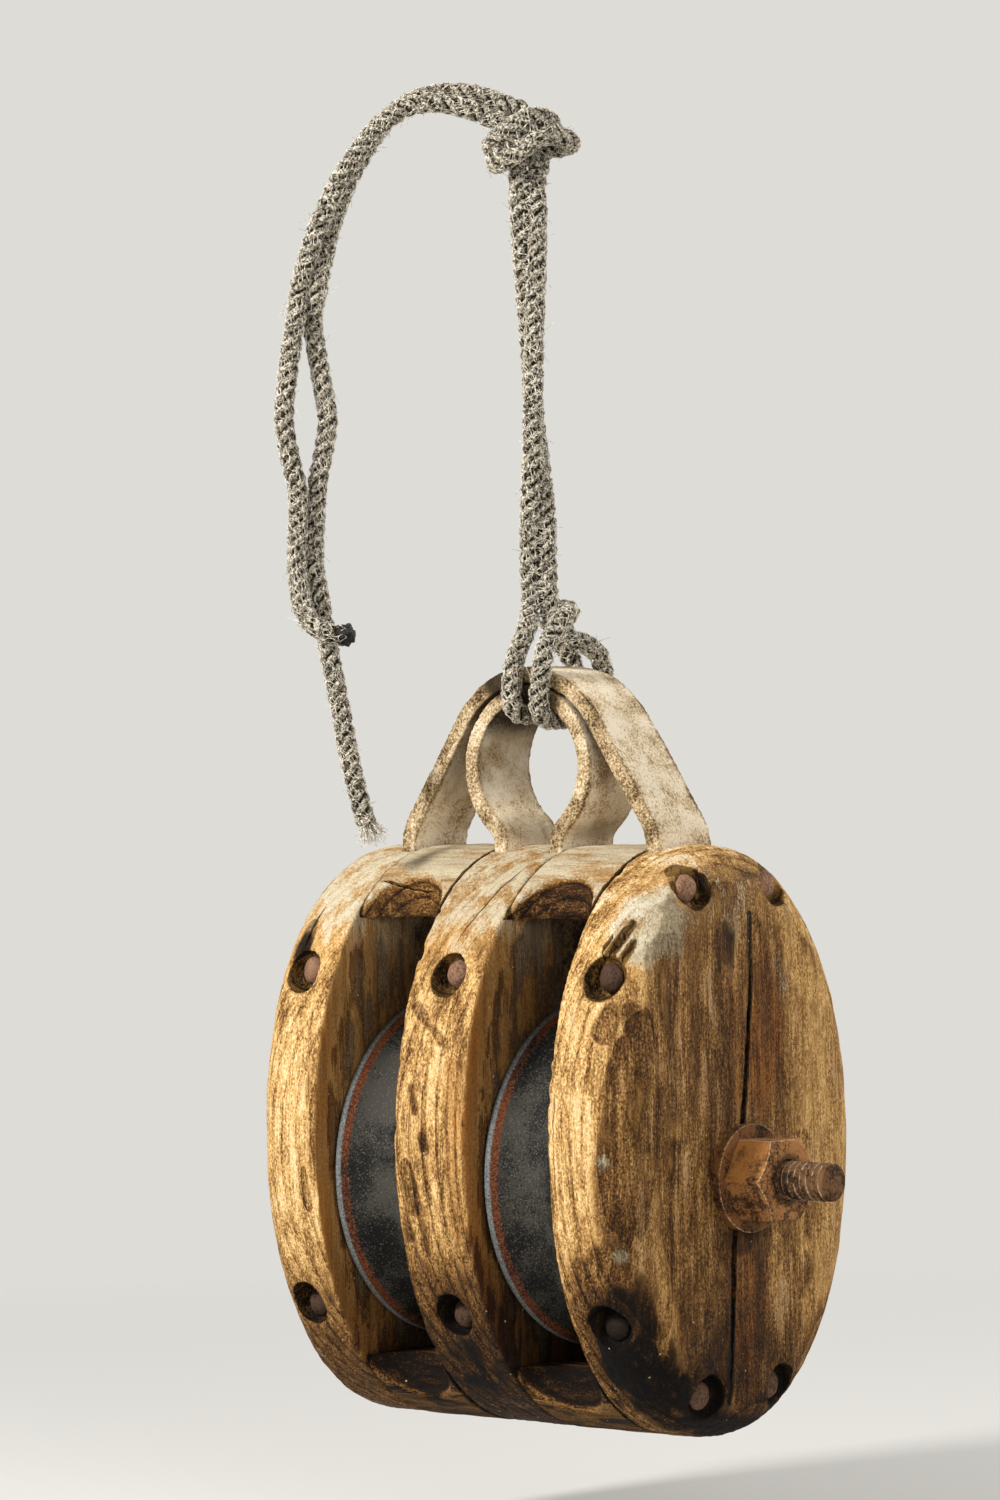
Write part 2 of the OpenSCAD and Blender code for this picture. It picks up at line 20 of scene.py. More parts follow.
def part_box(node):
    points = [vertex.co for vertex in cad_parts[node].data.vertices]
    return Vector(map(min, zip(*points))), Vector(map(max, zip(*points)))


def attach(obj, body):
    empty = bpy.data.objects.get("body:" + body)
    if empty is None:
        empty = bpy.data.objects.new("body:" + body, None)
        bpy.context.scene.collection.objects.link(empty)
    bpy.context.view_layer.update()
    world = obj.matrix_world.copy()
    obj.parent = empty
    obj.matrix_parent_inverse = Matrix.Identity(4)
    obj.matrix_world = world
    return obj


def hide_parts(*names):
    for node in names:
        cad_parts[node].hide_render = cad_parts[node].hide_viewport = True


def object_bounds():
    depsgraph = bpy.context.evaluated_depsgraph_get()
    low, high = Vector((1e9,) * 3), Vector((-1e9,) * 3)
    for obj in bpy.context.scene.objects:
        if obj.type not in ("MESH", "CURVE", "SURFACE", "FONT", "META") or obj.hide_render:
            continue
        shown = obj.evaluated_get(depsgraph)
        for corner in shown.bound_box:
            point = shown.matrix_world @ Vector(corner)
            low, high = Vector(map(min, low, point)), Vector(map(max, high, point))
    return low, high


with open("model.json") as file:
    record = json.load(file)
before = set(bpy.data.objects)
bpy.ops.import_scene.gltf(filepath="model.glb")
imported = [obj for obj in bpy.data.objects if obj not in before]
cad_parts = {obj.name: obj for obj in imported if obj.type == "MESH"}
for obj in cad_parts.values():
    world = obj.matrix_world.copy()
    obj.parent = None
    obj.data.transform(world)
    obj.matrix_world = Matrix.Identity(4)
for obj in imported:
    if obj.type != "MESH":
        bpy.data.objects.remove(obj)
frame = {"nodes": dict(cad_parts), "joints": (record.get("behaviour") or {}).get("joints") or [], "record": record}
cad_low, cad_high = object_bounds()
print("pieces in the frame:", len(frame["nodes"]))

# %% [markdown]
# The block is easiest to think about in millimetres from the middle of its pin, with X along the pin, Y to
# the back and Z up. The two sheaves turn about that pin, so their joints give the middle. TO_ROW carries
# points from there to the frame's own metres.

# %% The block's own millimetres
MM = 0.001
pivots = {joint["name"]: Vector(joint["pos_m"]) for joint in frame["joints"]}
PIN = (pivots["near_sheave_spin"] + pivots["far_sheave_spin"]) / 2
TO_ROW = Matrix.Translation(PIN) @ Matrix.Scale(MM, 4)
TO_BLOCK = TO_ROW.inverted()


def span(node):
    """Lowest and highest corner of a CAD node, in the block's millimetres"""
    low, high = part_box(node)
    return TO_BLOCK @ low, TO_BLOCK @ high


cheek_low, cheek_high = span("near_cheek")
slot_outer, shell_out = cheek_low.x, cheek_high.x
half_depth = cheek_high.y
shell_top, shell_bottom = cheek_high.z, cheek_low.z
shell_middle = (shell_top + shell_bottom) / 2
half_height = (shell_top - shell_bottom) / 2
slot_inner = span("centre_partition")[1].x
cheek_middle = (slot_outer + shell_out) / 2
print("shell is", round(shell_top - shell_bottom), "mm high and", round(2 * shell_out), "mm wide")

# %% [markdown]
# The camera stands at the photograph's viewing angle, a little to the right of the block and level with its
# straps. A long lens keeps the two cheeks nearly parallel. Three turns place it: round the upright, up from
# looking straight down, and a slight roll.

# %% Camera
CAMERA_PLACE = Vector((1459.3, -1703.5, 187.1))
CAMERA_TURN = 41.175
CAMERA_TIP = 89.916
CAMERA_ROLL = -0.937
CAMERA_LENS = 122.5
CAMERA_SENSOR = 36

camera_data = bpy.data.cameras.new("front_camera")
camera_data.lens = CAMERA_LENS
camera_data.sensor_width = CAMERA_SENSOR
camera = bpy.data.objects.new("front_camera", camera_data)
camera.matrix_world = (
    Matrix.Translation(TO_ROW @ CAMERA_PLACE)
    @ Matrix.Rotation(math.radians(CAMERA_TURN), 4, "Z")
    @ Matrix.Rotation(math.radians(CAMERA_TIP), 4, "X")
    @ Matrix.Rotation(math.radians(CAMERA_ROLL), 4, "Z")
)
bpy.context.scene.collection.objects.link(camera)
bpy.context.scene.camera = camera
bpy.context.scene.view_settings.view_transform = "Standard"
print("camera at", tuple(round(c, 3) for c in camera.location))

# %% [markdown]
# Every finish is a node material. Colours are written as the hex values that a paint chart gives, and one
# function turns them to linear light. One more function adds a node with its settings and its links.
# Patterns read Object coordinates, which a Mapping node turns into the block's millimetres, so that a ring
# spacing or a grit size is a real size.

# %% Helpers for materials
def colour(hex_value):
    """An sRGB hex colour as linear red, green, blue and alpha"""
    parts = [int(hex_value[i : i + 2], 16) / 255 for i in (1, 3, 5)]
    linear = [c / 12.92 if c <= 0.04045 else ((c + 0.055) / 1.055) ** 2.4 for c in parts]
    return (*linear, 1.0)


def add(tree, kind, inputs=None, **settings):
    """Adds a node, sets it, and fills its inputs with values or links, and returns it"""
    made = tree.nodes.new("ShaderNode" + kind)
    for name, value in settings.items():
        setattr(made, name, value)
    for name, value in (inputs or {}).items():
        if isinstance(value, bpy.types.NodeSocket):
            tree.links.new(value, made.inputs[name])
        else:
            made.inputs[name].default_value = value
    return made


def set_ramp(node, stops):
    """Gives a colour ramp its stops, as pairs of place and hex colour"""
    elements = node.color_ramp.elements
    while len(elements) < len(stops):
        elements.new(0.5)
    for element, (place, hex_value) in zip(elements, stops):
        element.position = place
        element.color = colour(hex_value)
    return node.outputs["Color"]


# %% Starting and ending a material
def new_material(name):
    """A material, its tree, and its coordinates in the block's millimetres"""
    material = bpy.data.materials.new(name)
    material.use_nodes = True
    tree = material.node_tree
    tree.nodes.clear()
    place = add(tree, "TexCoord").outputs["Object"]
    settings = {"Vector": place, "Location": tuple(-PIN / MM), "Scale": (1 / MM,) * 3}
    return material, tree, add(tree, "Mapping", settings).outputs[0]


def finish_material(tree, base, roughness, height, distance, metallic=0.0, specular=0.5):
    """Ends a material: colour, roughness and a height, worth a distance at 1, go to one shader"""
    bump = add(tree, "Bump", {"Height": height, "Distance": distance, "Strength": 1.0})
    shader = add(tree, "BsdfPrincipled", {
        "Base Color": base, "Roughness": roughness, "Metallic": metallic, "Specular IOR Level": specular,
        "Normal": bump.outputs[0]})
    add(tree, "OutputMaterial", {"Surface": shader.outputs[0]})


print("a mid grey, #808080, is", round(colour("#808080")[0], 3), "in linear light")

# %% [markdown]
# The lanyard is hairy three-strand rope, 8 mm thick under its fuzz. On the real rope three strands are laid
# up right-handed, so the section is a rounded trefoil that turns as it goes. A curve with that trefoil as
# its bevel, tilted a little at each point, gives the lay, and Blender keeps it from twisting round bends.
# The route is the one that the solid rope takes in the frame.

# %% Rope sizes
ROPE_DIAMETER = 8.0
LAY_LENGTH = 18.0
STRAND_OUT = 1.95
STRAND_RADIUS = 2.45
PROFILE_POINTS = 30
ROPE_STEP = 1.1
# How far from the rope's middle a point lies deepest between the strands, and no longer between them
CREASE_REACH = (2.85, 3.8)
# The same from the middle of another turn, which is at least so many steps away along the rope
TURN_REACH = (4.3, 5.2)
TURN_APART = 12
# Small lumps in the strands: their height and their width
ROPE_LUMPS = (0.22, 1.6)
# Points closer than this are one point
MERGE = 0.01
print("the strands reach", round(STRAND_OUT + STRAND_RADIUS, 2), "mm out from the rope's middle")

# %% Lines through points
def smoothstep(low, high, values):
    """0 before low, 1 past high, and a soft step between them"""
    t = np.clip((values - low) / (high - low), 0, 1)
    return t * t * (3 - 2 * t)


def smooth(points, steps):
    """A Catmull-Rom curve through given points"""
    points = [Vector(p) for p in points]
    made = []
    for i in range(len(points) - 1):
        a, b = points[max(i - 1, 0)], points[i]
        c, d = points[i + 1], points[min(i + 2, len(points) - 1)]
        for k in range(steps):
            t = k / steps
            made.append(0.5 * (2 * b + (c - a) * t + (2 * a - 5 * b + 4 * c - d) * t * t
                               + (3 * b - a - 3 * c + d) * t ** 3))
    return made + [points[-1]]


def evenly(points, step):
    """The same line with its points evenly spaced"""
    places = np.array([tuple(p) for p in points])
    run = np.concatenate([[0], np.cumsum(np.linalg.norm(np.diff(places, axis=0), axis=1))])
    at = np.linspace(0, run[-1], max(2, round(run[-1] / step) + 1))
    return [Vector(p) for p in np.stack([np.interp(at, run, places[:, k]) for k in range(3)], axis=1)]


def length_of(points):
    return sum((b - a).length for a, b in zip(points, points[1:]))


# %% Objects and meshes
def in_scene(name, mesh, material=None):
    """An object at the origin that holds a finished mesh"""
    made = bpy.data.objects.new(name, mesh)
    bpy.context.scene.collection.objects.link(made)
    if material:
        made.data.materials.clear()
        made.data.materials.append(material)
    return made


def mesh_of(temporary):
    """The evaluated mesh of a temporary object, which is then removed"""
    bpy.context.view_layer.update()
    depsgraph = bpy.context.evaluated_depsgraph_get()
    mesh = bpy.data.meshes.new_from_object(temporary.evaluated_get(depsgraph))
    bpy.data.objects.remove(temporary)
    return mesh


# %% The rope's section
def trefoil():
    """The rope's section as a closed curve: the outline of three strands side by side"""
    curve = bpy.data.curves.new("rope_section", "CURVE")
    curve.dimensions = "2D"
    spline = curve.splines.new("POLY")
    spline.points.add(PROFILE_POINTS - 1)
    spline.use_cyclic_u = True
    for i, point in enumerate(spline.points):
        angle = 2 * math.pi * i / PROFILE_POINTS
        off = (angle + math.pi / 3) % (2 * math.pi / 3) - math.pi / 3
        reach = STRAND_OUT * math.cos(off) + math.sqrt(STRAND_RADIUS ** 2 - (STRAND_OUT * math.sin(off)) ** 2)
        point.co = (reach * MM * math.cos(angle), reach * MM * math.sin(angle), 0, 1)
    section = bpy.data.objects.new("rope_section", curve)
    bpy.context.scene.collection.objects.link(section)
    return section


# %% The rope's painted crease shade
def add_crease_shade(mesh, line):
    """Marks how deep each point of a mesh lies between the rope's strands, or between two of its turns, for
    painted shade
    """
    tree = KDTree(len(line))
    for i, place in enumerate(line):
        tree.insert(place, i)
    tree.balance()
    own, other = [], []
    for vert in mesh.vertices:
        near = sorted((far, i) for _, i, far in tree.find_range(TO_BLOCK @ vert.co, TURN_REACH[1]))
        own.append(near[0][0] if near else TURN_REACH[1])
        next_turn = [far for far, i in near if abs(i - near[0][1]) > TURN_APART]
        other.append(min(next_turn, default=TURN_REACH[1]))
    deep = np.maximum(smoothstep(CREASE_REACH[1], CREASE_REACH[0], np.array(own)),
                      smoothstep(TURN_REACH[1], TURN_REACH[0], np.array(other)))
    mesh.attributes.new("crease_shade", "FLOAT", "POINT").data.foreach_set("value", deep)


# %% A laid rope
def laid_rope(name, route, material):
    """A laid rope along a route in the block's millimetres, with its line and its skin to search"""
    line = evenly(route, ROPE_STEP)
    section = trefoil()
    curve = bpy.data.curves.new(name, "CURVE")
    curve.dimensions = "3D"
    curve.bevel_mode = "OBJECT"
    curve.bevel_object = section
    curve.use_fill_caps = True
    spline = curve.splines.new("POLY")
    spline.points.add(len(line) - 1)
    for i, (point, place) in enumerate(zip(spline.points, line)):
        point.co = (*(TO_ROW @ place), 1)
        point.tilt = 2 * math.pi * i * ROPE_STEP / LAY_LENGTH
    holder = bpy.data.objects.new(name, curve)
    bpy.context.scene.collection.objects.link(holder)
    mesh = mesh_of(holder)
    bpy.data.objects.remove(section)
    bm = bmesh.new()
    bm.from_mesh(mesh)
    bmesh.ops.remove_doubles(bm, verts=bm.verts, dist=MERGE * MM)
    bmesh.ops.recalc_face_normals(bm, faces=bm.faces)
    bm.normal_update()
    high, wide = ROPE_LUMPS
    for vert in bm.verts:
        vert.co += vert.normal * high * MM * noise.noise(vert.co / (wide * MM))
    bm.to_mesh(mesh)
    bmesh.ops.transform(bm, matrix=TO_BLOCK, verts=bm.verts)
    skin = BVHTree.FromBMesh(bm)
    bm.free()
    mesh.name = name
    mesh.shade_smooth()
    add_crease_shade(mesh, line)
    return in_scene(name, mesh, material), line, skin

# %% [markdown]
# Loose fibres are what the eye reads as old rope. Each is a short bent hair that follows the surface of its
# strand, leaning with the lay, and one in forty is a long stray that stands off. They are one curve object
# with thousands of splines, turned to a mesh: a hair has only a few dozen faces, and a seeded generator
# puts each in the same place at every run. A search tree over the rope's skin finds where each bend of a
# hair lies. Real fibres are a tenth of a millimetre thick, too fine to show, so these are drawn as tufts of
# a few together.

# %% Hairs on the rope
HAIRS_PER_MM = 9.0
HAIR_THICKNESS = 0.38
HAIR_TAPER = 0.6
# The middle and the spread of a hair's angle to the rope, in radians, and the spread of its bend
HAIR_HEADING = (0.5, 0.65)
HAIR_BEND = 0.7
# A hair's shortest and longest length, its first three points' lift, and the range of its tip's lift
HAIR_LENGTH = (1.6, 4.0)
HAIR_LIFT = (-0.25, 0.18, 0.28)
HAIR_TIP = (-0.1, 0.75)
STRAY_LENGTH = (6.0, 13.0)
STRAY_TIP = (1.5, 5.0)
STRAY_SHARE = 0.025
# The skin is searched from this far out
SEARCH_OUT = 6.0


def frames_along(line):
    """A direction, a side and an up for each point of a line, turned as little as possible"""
    ways = [(line[min(i + 1, len(line) - 1)] - line[max(i - 1, 0)]).normalized() for i in range(len(line))]
    side = ways[0].cross(Vector((1.0, 0.3, 0.2))).normalized()
    made = []
    for way in ways:
        side = (side - side.dot(way) * way).normalized()
        made.append((way, side, way.cross(side)))
    return made


# %% Making the hairs
def hair_mesh(name, hairs, thickness):
    """Meshes a list of hairs, each a list of places in the block's millimetres"""
    curve = bpy.data.curves.new(name, "CURVE")
    curve.dimensions = "3D"
    curve.bevel_depth = thickness / 2 * MM
    curve.bevel_resolution = 0
    curve.use_fill_caps = True
    for hair in hairs:
        spline = curve.splines.new("POLY")
        spline.points.add(len(hair) - 1)
        for i, (point, place) in enumerate(zip(spline.points, hair)):
            point.co = (*(TO_ROW @ place), 1)
            point.radius = 1.0 - HAIR_TAPER * i / (len(hair) - 1)
    holder = bpy.data.objects.new(name, curve)
    bpy.context.scene.collection.objects.link(holder)
    return mesh_of(holder)


def rope_hairs(name, line, skin, seed, material):
    """Hairs all over a rope that follows a line"""
    chance = random.Random(seed)
    frames = frames_along(line)
    step = (line[1] - line[0]).length
    whole = length_of(line)
    hairs = []
    for _ in range(round(whole * HAIRS_PER_MM)):
        run = chance.uniform(0, whole)
        angle = chance.uniform(0, 2 * math.pi)
        stray = chance.random() < STRAY_SHARE
        heading = chance.gauss(*HAIR_HEADING) + (math.pi if chance.random() < 0.5 else 0)
        long = chance.uniform(*(STRAY_LENGTH if stray else HAIR_LENGTH))
        bend = chance.gauss(0, HAIR_BEND)
        tip = chance.uniform(*(STRAY_TIP if stray else HAIR_TIP))
        hair = []
        for k, lift in enumerate((*HAIR_LIFT, tip)):
            t = k / len(HAIR_LIFT)
            now = run + long * t * math.cos(heading + bend * t)
            turn = angle + long * t * math.sin(heading + bend * t) * 2 / ROPE_DIAMETER
            at = min(max(now / step, 0), len(line) - 1)
            i = int(at)
            way, side, up = frames[i]
            outward = side * math.cos(turn) + up * math.sin(turn)
            spot, normal = skin.find_nearest(line[i] + way * (at - i) * step + outward * SEARCH_OUT)[:2]
            hair.append(spot + normal * lift)
        hairs.append(hair)
    mesh = hair_mesh(name, hairs, HAIR_THICKNESS)
    add_crease_shade(mesh, line)
    return in_scene(name, mesh, material)

# %% [markdown]
# The rope has gone salt-and-pepper: cream hairs over a dirty core. The photograph doesn't settle
# what fibre it is, and manila is the choice here. Two materials tell hairs and core apart. The core has
# blotches about a millimetre wide, takes painted shade between its strands and where its turns touch, and
# turns black where the end was burnt. The hairs are paler, vary from hair to hair, and take the same
# painted shade.

# %% Rope materials
def rope_core():
    material, tree, here = new_material("laid_manila_core")
    blotch = add(tree, "TexNoise", {
        "Vector": here, "Scale": 0.8, "Detail": 5.0, "Roughness": 0.75}).outputs[0]
    crease_shade = add(tree, "Attribute", attribute_name="crease_shade").outputs["Fac"]
    # Painted shade: darker between the strands and where turns touch
    shaded = add(tree, "Math", {0: crease_shade, 1: -0.11, 2: blotch}, operation="MULTIPLY_ADD").outputs[0]
    shade = set_ramp(add(tree, "ValToRGB", {"Fac": shaded}), [
        (0.34, "#0D0B09"), (0.43, "#37312A"), (0.50, "#8A8171"), (0.57, "#C6BCA8"), (0.68, "#E4DBC8")])
    burnt = add(tree, "Attribute", attribute_name="burnt").outputs["Fac"]
    base = add(tree, "Mix", {0: burnt, 6: shade, 7: colour("#0F0D0B")}, data_type="RGBA").outputs[2]
    finish_material(tree, base, 0.92, blotch, distance=0.9 * MM, specular=0.1)
    return material


def rope_hair():
    material, tree, here = new_material("manila_hair")
    spot = add(tree, "TexNoise", {"Vector": here, "Scale": 0.8, "Detail": 2.0, "Roughness": 0.6}).outputs[0]
    crease_shade = add(tree, "Attribute", attribute_name="crease_shade").outputs["Fac"]
    # Painted shade: hairs darken between the strands and where turns touch
    shaded = add(tree, "Math", {0: crease_shade, 1: -0.15, 2: spot}, operation="MULTIPLY_ADD").outputs[0]
    shade = set_ramp(add(tree, "ValToRGB", {"Fac": shaded}), [
        (0.28, "#2B251E"), (0.42, "#968B76"), (0.51, "#D9D0BC"), (0.63, "#F8F2E5")])
    finish_material(tree, shade, 0.85, spot, distance=0.1 * MM, specular=0.1)
    return material


core_finish = rope_core()
hair_finish = rope_hair()
print("rope finishes:", core_finish.name, hair_finish.name)

# %% [markdown]
# The rope's route is a list of given points, in three parts. The bight starts at the knot, runs
# down, goes twice under the straps' crowns and once round behind its own falls, and runs back up to the
# knot. The falls are held taut by the block's weight and have taken half a turn round each other. The two
# tails come over an arch side by side from the knot: stiff old rope keeps such a bend. The falls and the
# arch are given in the plane that faces the camera, as a distance to the right, a height, and how far the
# pair has turned. The tails and the knot are given there as right, behind and up, and the hitch in the
# block's own millimetres.

# %% Routes
HITCH = [
    (-5.8, -6.0, 253), (-3.6, -9.2, 244), (-0.6, -15.4, 236), (-0.9, -20.6, 228),
    (-2.5, -22.8, 219), (-3.5, -22.8, 210), (-3.6, -21.8, 202.5), (-3.4, -17, 199.4), (-3.2, -8, 199.2),
    (-3, 0, 199.2), (-3.2, 9, 199.2), (-3.8, 17.5, 199.5), (-4.4, 22, 202.8), (-4.8, 22.8, 210),
    (-5.5, 22.8, 219), (-8, 21, 226), (-10.5, 15.5, 234), (-8.5, 9.5, 241), (-2, 7.8, 244.5),
    (3.5, 7, 245), (9, 2.5, 243.5), (12.3, -8, 239), (13.8, -16.3, 232.5), (14.8, -21.4, 226),
    (14.2, -22.8, 218.5), (12.5, -22.8, 210), (11.8, -22.2, 201), (11.5, -17.5, 196.8), (11, -8, 196.9),
    (10.5, 0, 197.2), (10.3, 9, 197.2), (10.4, 17.5, 197.4), (10.6, 22.3, 201.5), (10.8, 22.8, 210),
    (11, 22.2, 219), (11.3, 18, 226), (10.5, 10.5, 229.8), (7, 3.5, 232.5), (2.5, -0.5, 238),
    (0.4, -1.2, 246), (0.2, -1.2, 254)]
FALLS = [
    (0, 262, 180), (0, 271, 180), (0.1, 285, 203), (0, 299, 226), (-0.4, 313, 246), (-0.9, 327, 261),
    (-1.1, 341, 270), (-1.2, 355, 279), (-1.3, 369, 289), (-1.4, 383, 302), (-1.6, 397, 318),
    (-1.8, 411, 336), (-2, 425, 352), (-2, 438, 352)]
ARCH = [
    (-14, 464, 190), (-26, 468.5, 203), (-40, 470.5, 230), (-53, 468, 252), (-64, 460.8, 268),
    (-73, 450, 280), (-82, 436, 290), (-89, 421, 303), (-94.5, 405, 322), (-99, 387, 350)]
BURNT_TAIL = [
    (-105, -3, 373), (-109, -3, 348), (-110.5, -3, 330), (-108, -2, 312), (-105.5, -2, 302),
    (-105, -2, 290), (-106, -2, 268), (-105, -3, 254), (-103, -6, 245.5), (-98, -10, 239),
    (-92, -10.5, 236), (-85, -10, 235)]
LONG_TAIL = [
    (-97.5, 3, 373), (-94, 3, 348), (-91.5, 3, 330), (-94.5, 3, 312), (-96.5, 3.5, 302), (-97.5, 3.5, 290),
    (-98.5, 3.5, 268), (-96, 2, 250), (-93, 1, 231), (-90.5, 0, 217), (-88, 0, 203), (-86, 0, 191),
    (-84, 0, 180), (-81.5, 0, 168), (-78.5, 0, 156), (-77, 0, 152)]
PAIR_HALF = 3.95
PLANE_TURN = math.radians(41.2)


def hang(right, behind, up):
    """A point of the hanging plane in the block's millimetres"""
    plane = Matrix.Rotation(PLANE_TURN, 3, "Z")
    return Vector((-PIN.x / MM, -PIN.y / MM, 0)) + plane @ Vector((right, behind, up))


def laid_pair(pair, side):
    """One rope of a pair, wound round the pair's middle"""
    made = []
    for i, (right, up, turn) in enumerate(pair):
        before, after = pair[max(i - 1, 0)], pair[min(i + 1, len(pair) - 1)]
        way = Vector((after[0] - before[0], after[1] - before[1])).normalized()
        across, out = math.cos(math.radians(turn)), math.sin(math.radians(turn))
        made.append(hang(right + side * PAIR_HALF * across * way.y, side * PAIR_HALF * out,
                         up - side * PAIR_HALF * across * way.x))
    return made


left_fall, right_fall = laid_pair(FALLS, 1), laid_pair(FALLS, -1)
bight_route = smooth(left_fall[::-1] + [Vector(p) for p in HITCH] + right_fall, steps=8)
burnt_route = smooth(laid_pair(ARCH, 1) + [hang(*p) for p in BURNT_TAIL], steps=10)
long_route = smooth(laid_pair(ARCH, -1) + [hang(*p) for p in LONG_TAIL], steps=10)
print("bight", round(length_of(bight_route)), "burnt tail", round(length_of(burnt_route)),
      "long tail", round(length_of(long_route)), "mm")

# %% [markdown]
# The knot is built as a rope can really run. One part comes up from the left fall and goes straight through
# the middle. The other goes round it twice, in two leaning passes across the front with an ear on the right
# between them, and leaves for the arch at the top. Both are the same laid rope as the rest.

# %% The knot
KNOT_CORE = [
    (-6.2, 0.6, 437), (-5, 0, 446), (-3.5, -1, 454), (-2.5, -2, 460.5), (-5, -1.5, 464.8), (-9.5, 0, 466.8),
    (-15, 0.7, 468)]
KNOT_TURNS = [
    (2.2, -0.6, 437), (4, 2, 441), (1, 7, 445), (-6, 8.5, 445), (-13, 5, 442.5), (-16, -2, 441),
    (-12.5, -8.5, 441.3), (-6.8, -11.5, 444.5), (-1.1, -12, 448.5), (4.5, -10.5, 452), (10, -6, 452.6),
    (15.5, -2.5, 451.2), (17, 2, 449.6), (13.5, 6, 448.6), (7, 9, 449), (-2, 10, 448.5), (-11, 8, 448),
    (-17, 2, 448), (-17.3, -5, 449.8), (-12, -10.5, 453.6), (-6.8, -12, 457), (-1.1, -11, 460),
    (4.5, -8, 460.4), (8.3, -2.5, 458.8), (8, 3, 457.5), (3, 6, 459), (-4, 5, 460), (-10, 2, 460),
    (-15.4, -0.7, 460.4), (-18, -0.7, 461.4)]

core_route, turns_route = [smooth([hang(*p) for p in points], steps=6) for points in (KNOT_CORE, KNOT_TURNS)]
knot_core, knot_core_line, _ = laid_rope("knot_core", core_route, core_finish)
knot_turns, knot_line, knot_skin = laid_rope("knot_turns", turns_route, core_finish)
knot_hairs = rope_hairs("knot_hairs", knot_line, knot_skin, 11, hair_finish)
for piece in (knot_core, knot_turns, knot_hairs):
    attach(piece, "shell")
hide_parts("lanyard_knot")
print("knot holds", round(length_of(knot_line) + length_of(knot_core_line)), "mm of rope")

# %% [markdown]
# Now the three free stretches, each at its real length. The bight leaves the knot and
# ends in it again. Each tail leaves the knot and ends bare: one end was burnt to a black lump, and the
# other has frayed open.

# %% A free stretch of rope
def free_rope(name, route, seed, nodes):
    """Makes one free stretch of the lanyard, with its hairs"""
    rope, line, skin = laid_rope(name, route, core_finish)
    hairs = rope_hairs(name + "_hairs", line, skin, seed, hair_finish)
    for piece in (rope, hairs):
        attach(piece, "shell")
    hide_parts(*nodes)
    return rope, line


# %% The burnt end
CHAR_LENGTH = 11.0
LUMP_RADII = (4.6, 4.6, 4.2)
# Three noises that swell the lump: their strength and their fineness
LUMP_SWELLS = ((0.34, 1.7), (0.16, 5), (0.07, 12))


def burnt_end():
    """The black lump where the rope's end was burnt"""
    bm = bmesh.new()
    bmesh.ops.create_icosphere(bm, subdivisions=5, radius=1.0)
    end, before = Vector(burnt_route[-1]), Vector(burnt_route[-8])
    way = (end - before).normalized()
    turn = Vector((0, 0, 1)).rotation_difference(way).to_matrix()
    for vert in bm.verts:
        swell = 1
        for strength, fineness in LUMP_SWELLS:
            swell += strength * noise.noise(vert.co * fineness)
        local = Vector([c * radius for c, radius in zip(vert.co, LUMP_RADII)]) * swell
        vert.co = TO_ROW @ (end + turn @ local)
    mesh = bpy.data.meshes.new("burnt_lump")
    bm.to_mesh(mesh)
    bm.free()
    mesh.shade_smooth()
    return mesh


def charred():
    """Char: crusty, nearly black, with grey ash on its high spots"""
    material, tree, here = new_material("charred_fibre")
    crust = add(tree, "TexNoise", {"Vector": here, "Scale": 0.9, "Detail": 6.0, "Roughness": 0.7}).outputs[0]
    shade = set_ramp(add(tree, "ValToRGB", {"Fac": crust}), [
        (0.45, "#080706"), (0.6, "#1B1815"), (0.75, "#5A554C")])
    finish_material(tree, shade, 0.6, crust, distance=1.2 * MM)
    return material


# %% The frayed end
YARN_COUNT = 150
YARN_THICKNESS = 0.42
YARNS_OUT = 3.6
YARN_LENGTH = (3, 9)
YARN_FLARE = (0.2, 1.5)
YARN_CURL = 0.8


def frayed_end(line, seed, material):
    """Yarn ends that splay from a cut end"""
    chance = random.Random(seed)
    way, side, up = frames_along(line)[-1]
    end = line[-1]
    hairs = []
    for _ in range(YARN_COUNT):
        angle, out = chance.uniform(0, 2 * math.pi), YARNS_OUT * math.sqrt(chance.random())
        across = side * math.cos(angle) + up * math.sin(angle)
        long, flare = chance.uniform(*YARN_LENGTH), chance.uniform(*YARN_FLARE)
        curl = Vector([chance.gauss(0, YARN_CURL) for _ in range(3)])
        hairs.append([
            end - way * 3 + across * out,
            end + across * out * 1.05,
            end + way * long * 0.5 + across * out * (1 + 0.5 * flare) + curl * 0.5,
            end + way * long + across * out * (1 + flare) + curl * 1.6])
    return in_scene("frayed_yarns", hair_mesh("frayed_yarns", hairs, YARN_THICKNESS), material)


# %% The bight and the tails
lump = in_scene("burnt_lump", burnt_end(), charred())
frayed = frayed_end(evenly(long_route, ROPE_STEP), 5, hair_finish)
for piece in (lump, frayed):
    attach(piece, "shell")

bight, _ = free_rope(
    "lanyard_bight", bight_route, 21,
    ("lanyard_left_fall", "lanyard_hitch", "lanyard_right_fall"))
burnt, burnt_line = free_rope(
    "burnt_tail", burnt_route, 22, ("lanyard_burnt_tail",))
frayed_rope, _ = free_rope(
    "long_tail", long_route, 23, ("lanyard_long_tail",))

char = burnt.data.attributes.new("burnt", "FLOAT", "POINT")
tip = TO_ROW @ burnt_line[-1]
char.data.foreach_set("value", [
    min(1.0, max(0.0, 1.35 - (v.co - tip).length / (CHAR_LENGTH * MM))) for v in burnt.data.vertices])
print("cords:", bight.name, burnt.name, frayed_rope.name)

# %% [markdown]
# The wood and iron pieces keep the exact shapes of the frame, so each starts as a merged copy of its CAD
# node. A voxel remesh gives it an even skin of small faces, a few rounds of smoothing wear the sharp edges
# round, and then each point is moved in or out by noise at real sizes. Checks are cut afterwards as real
# wedges, because the fine ones are narrower than a voxel.

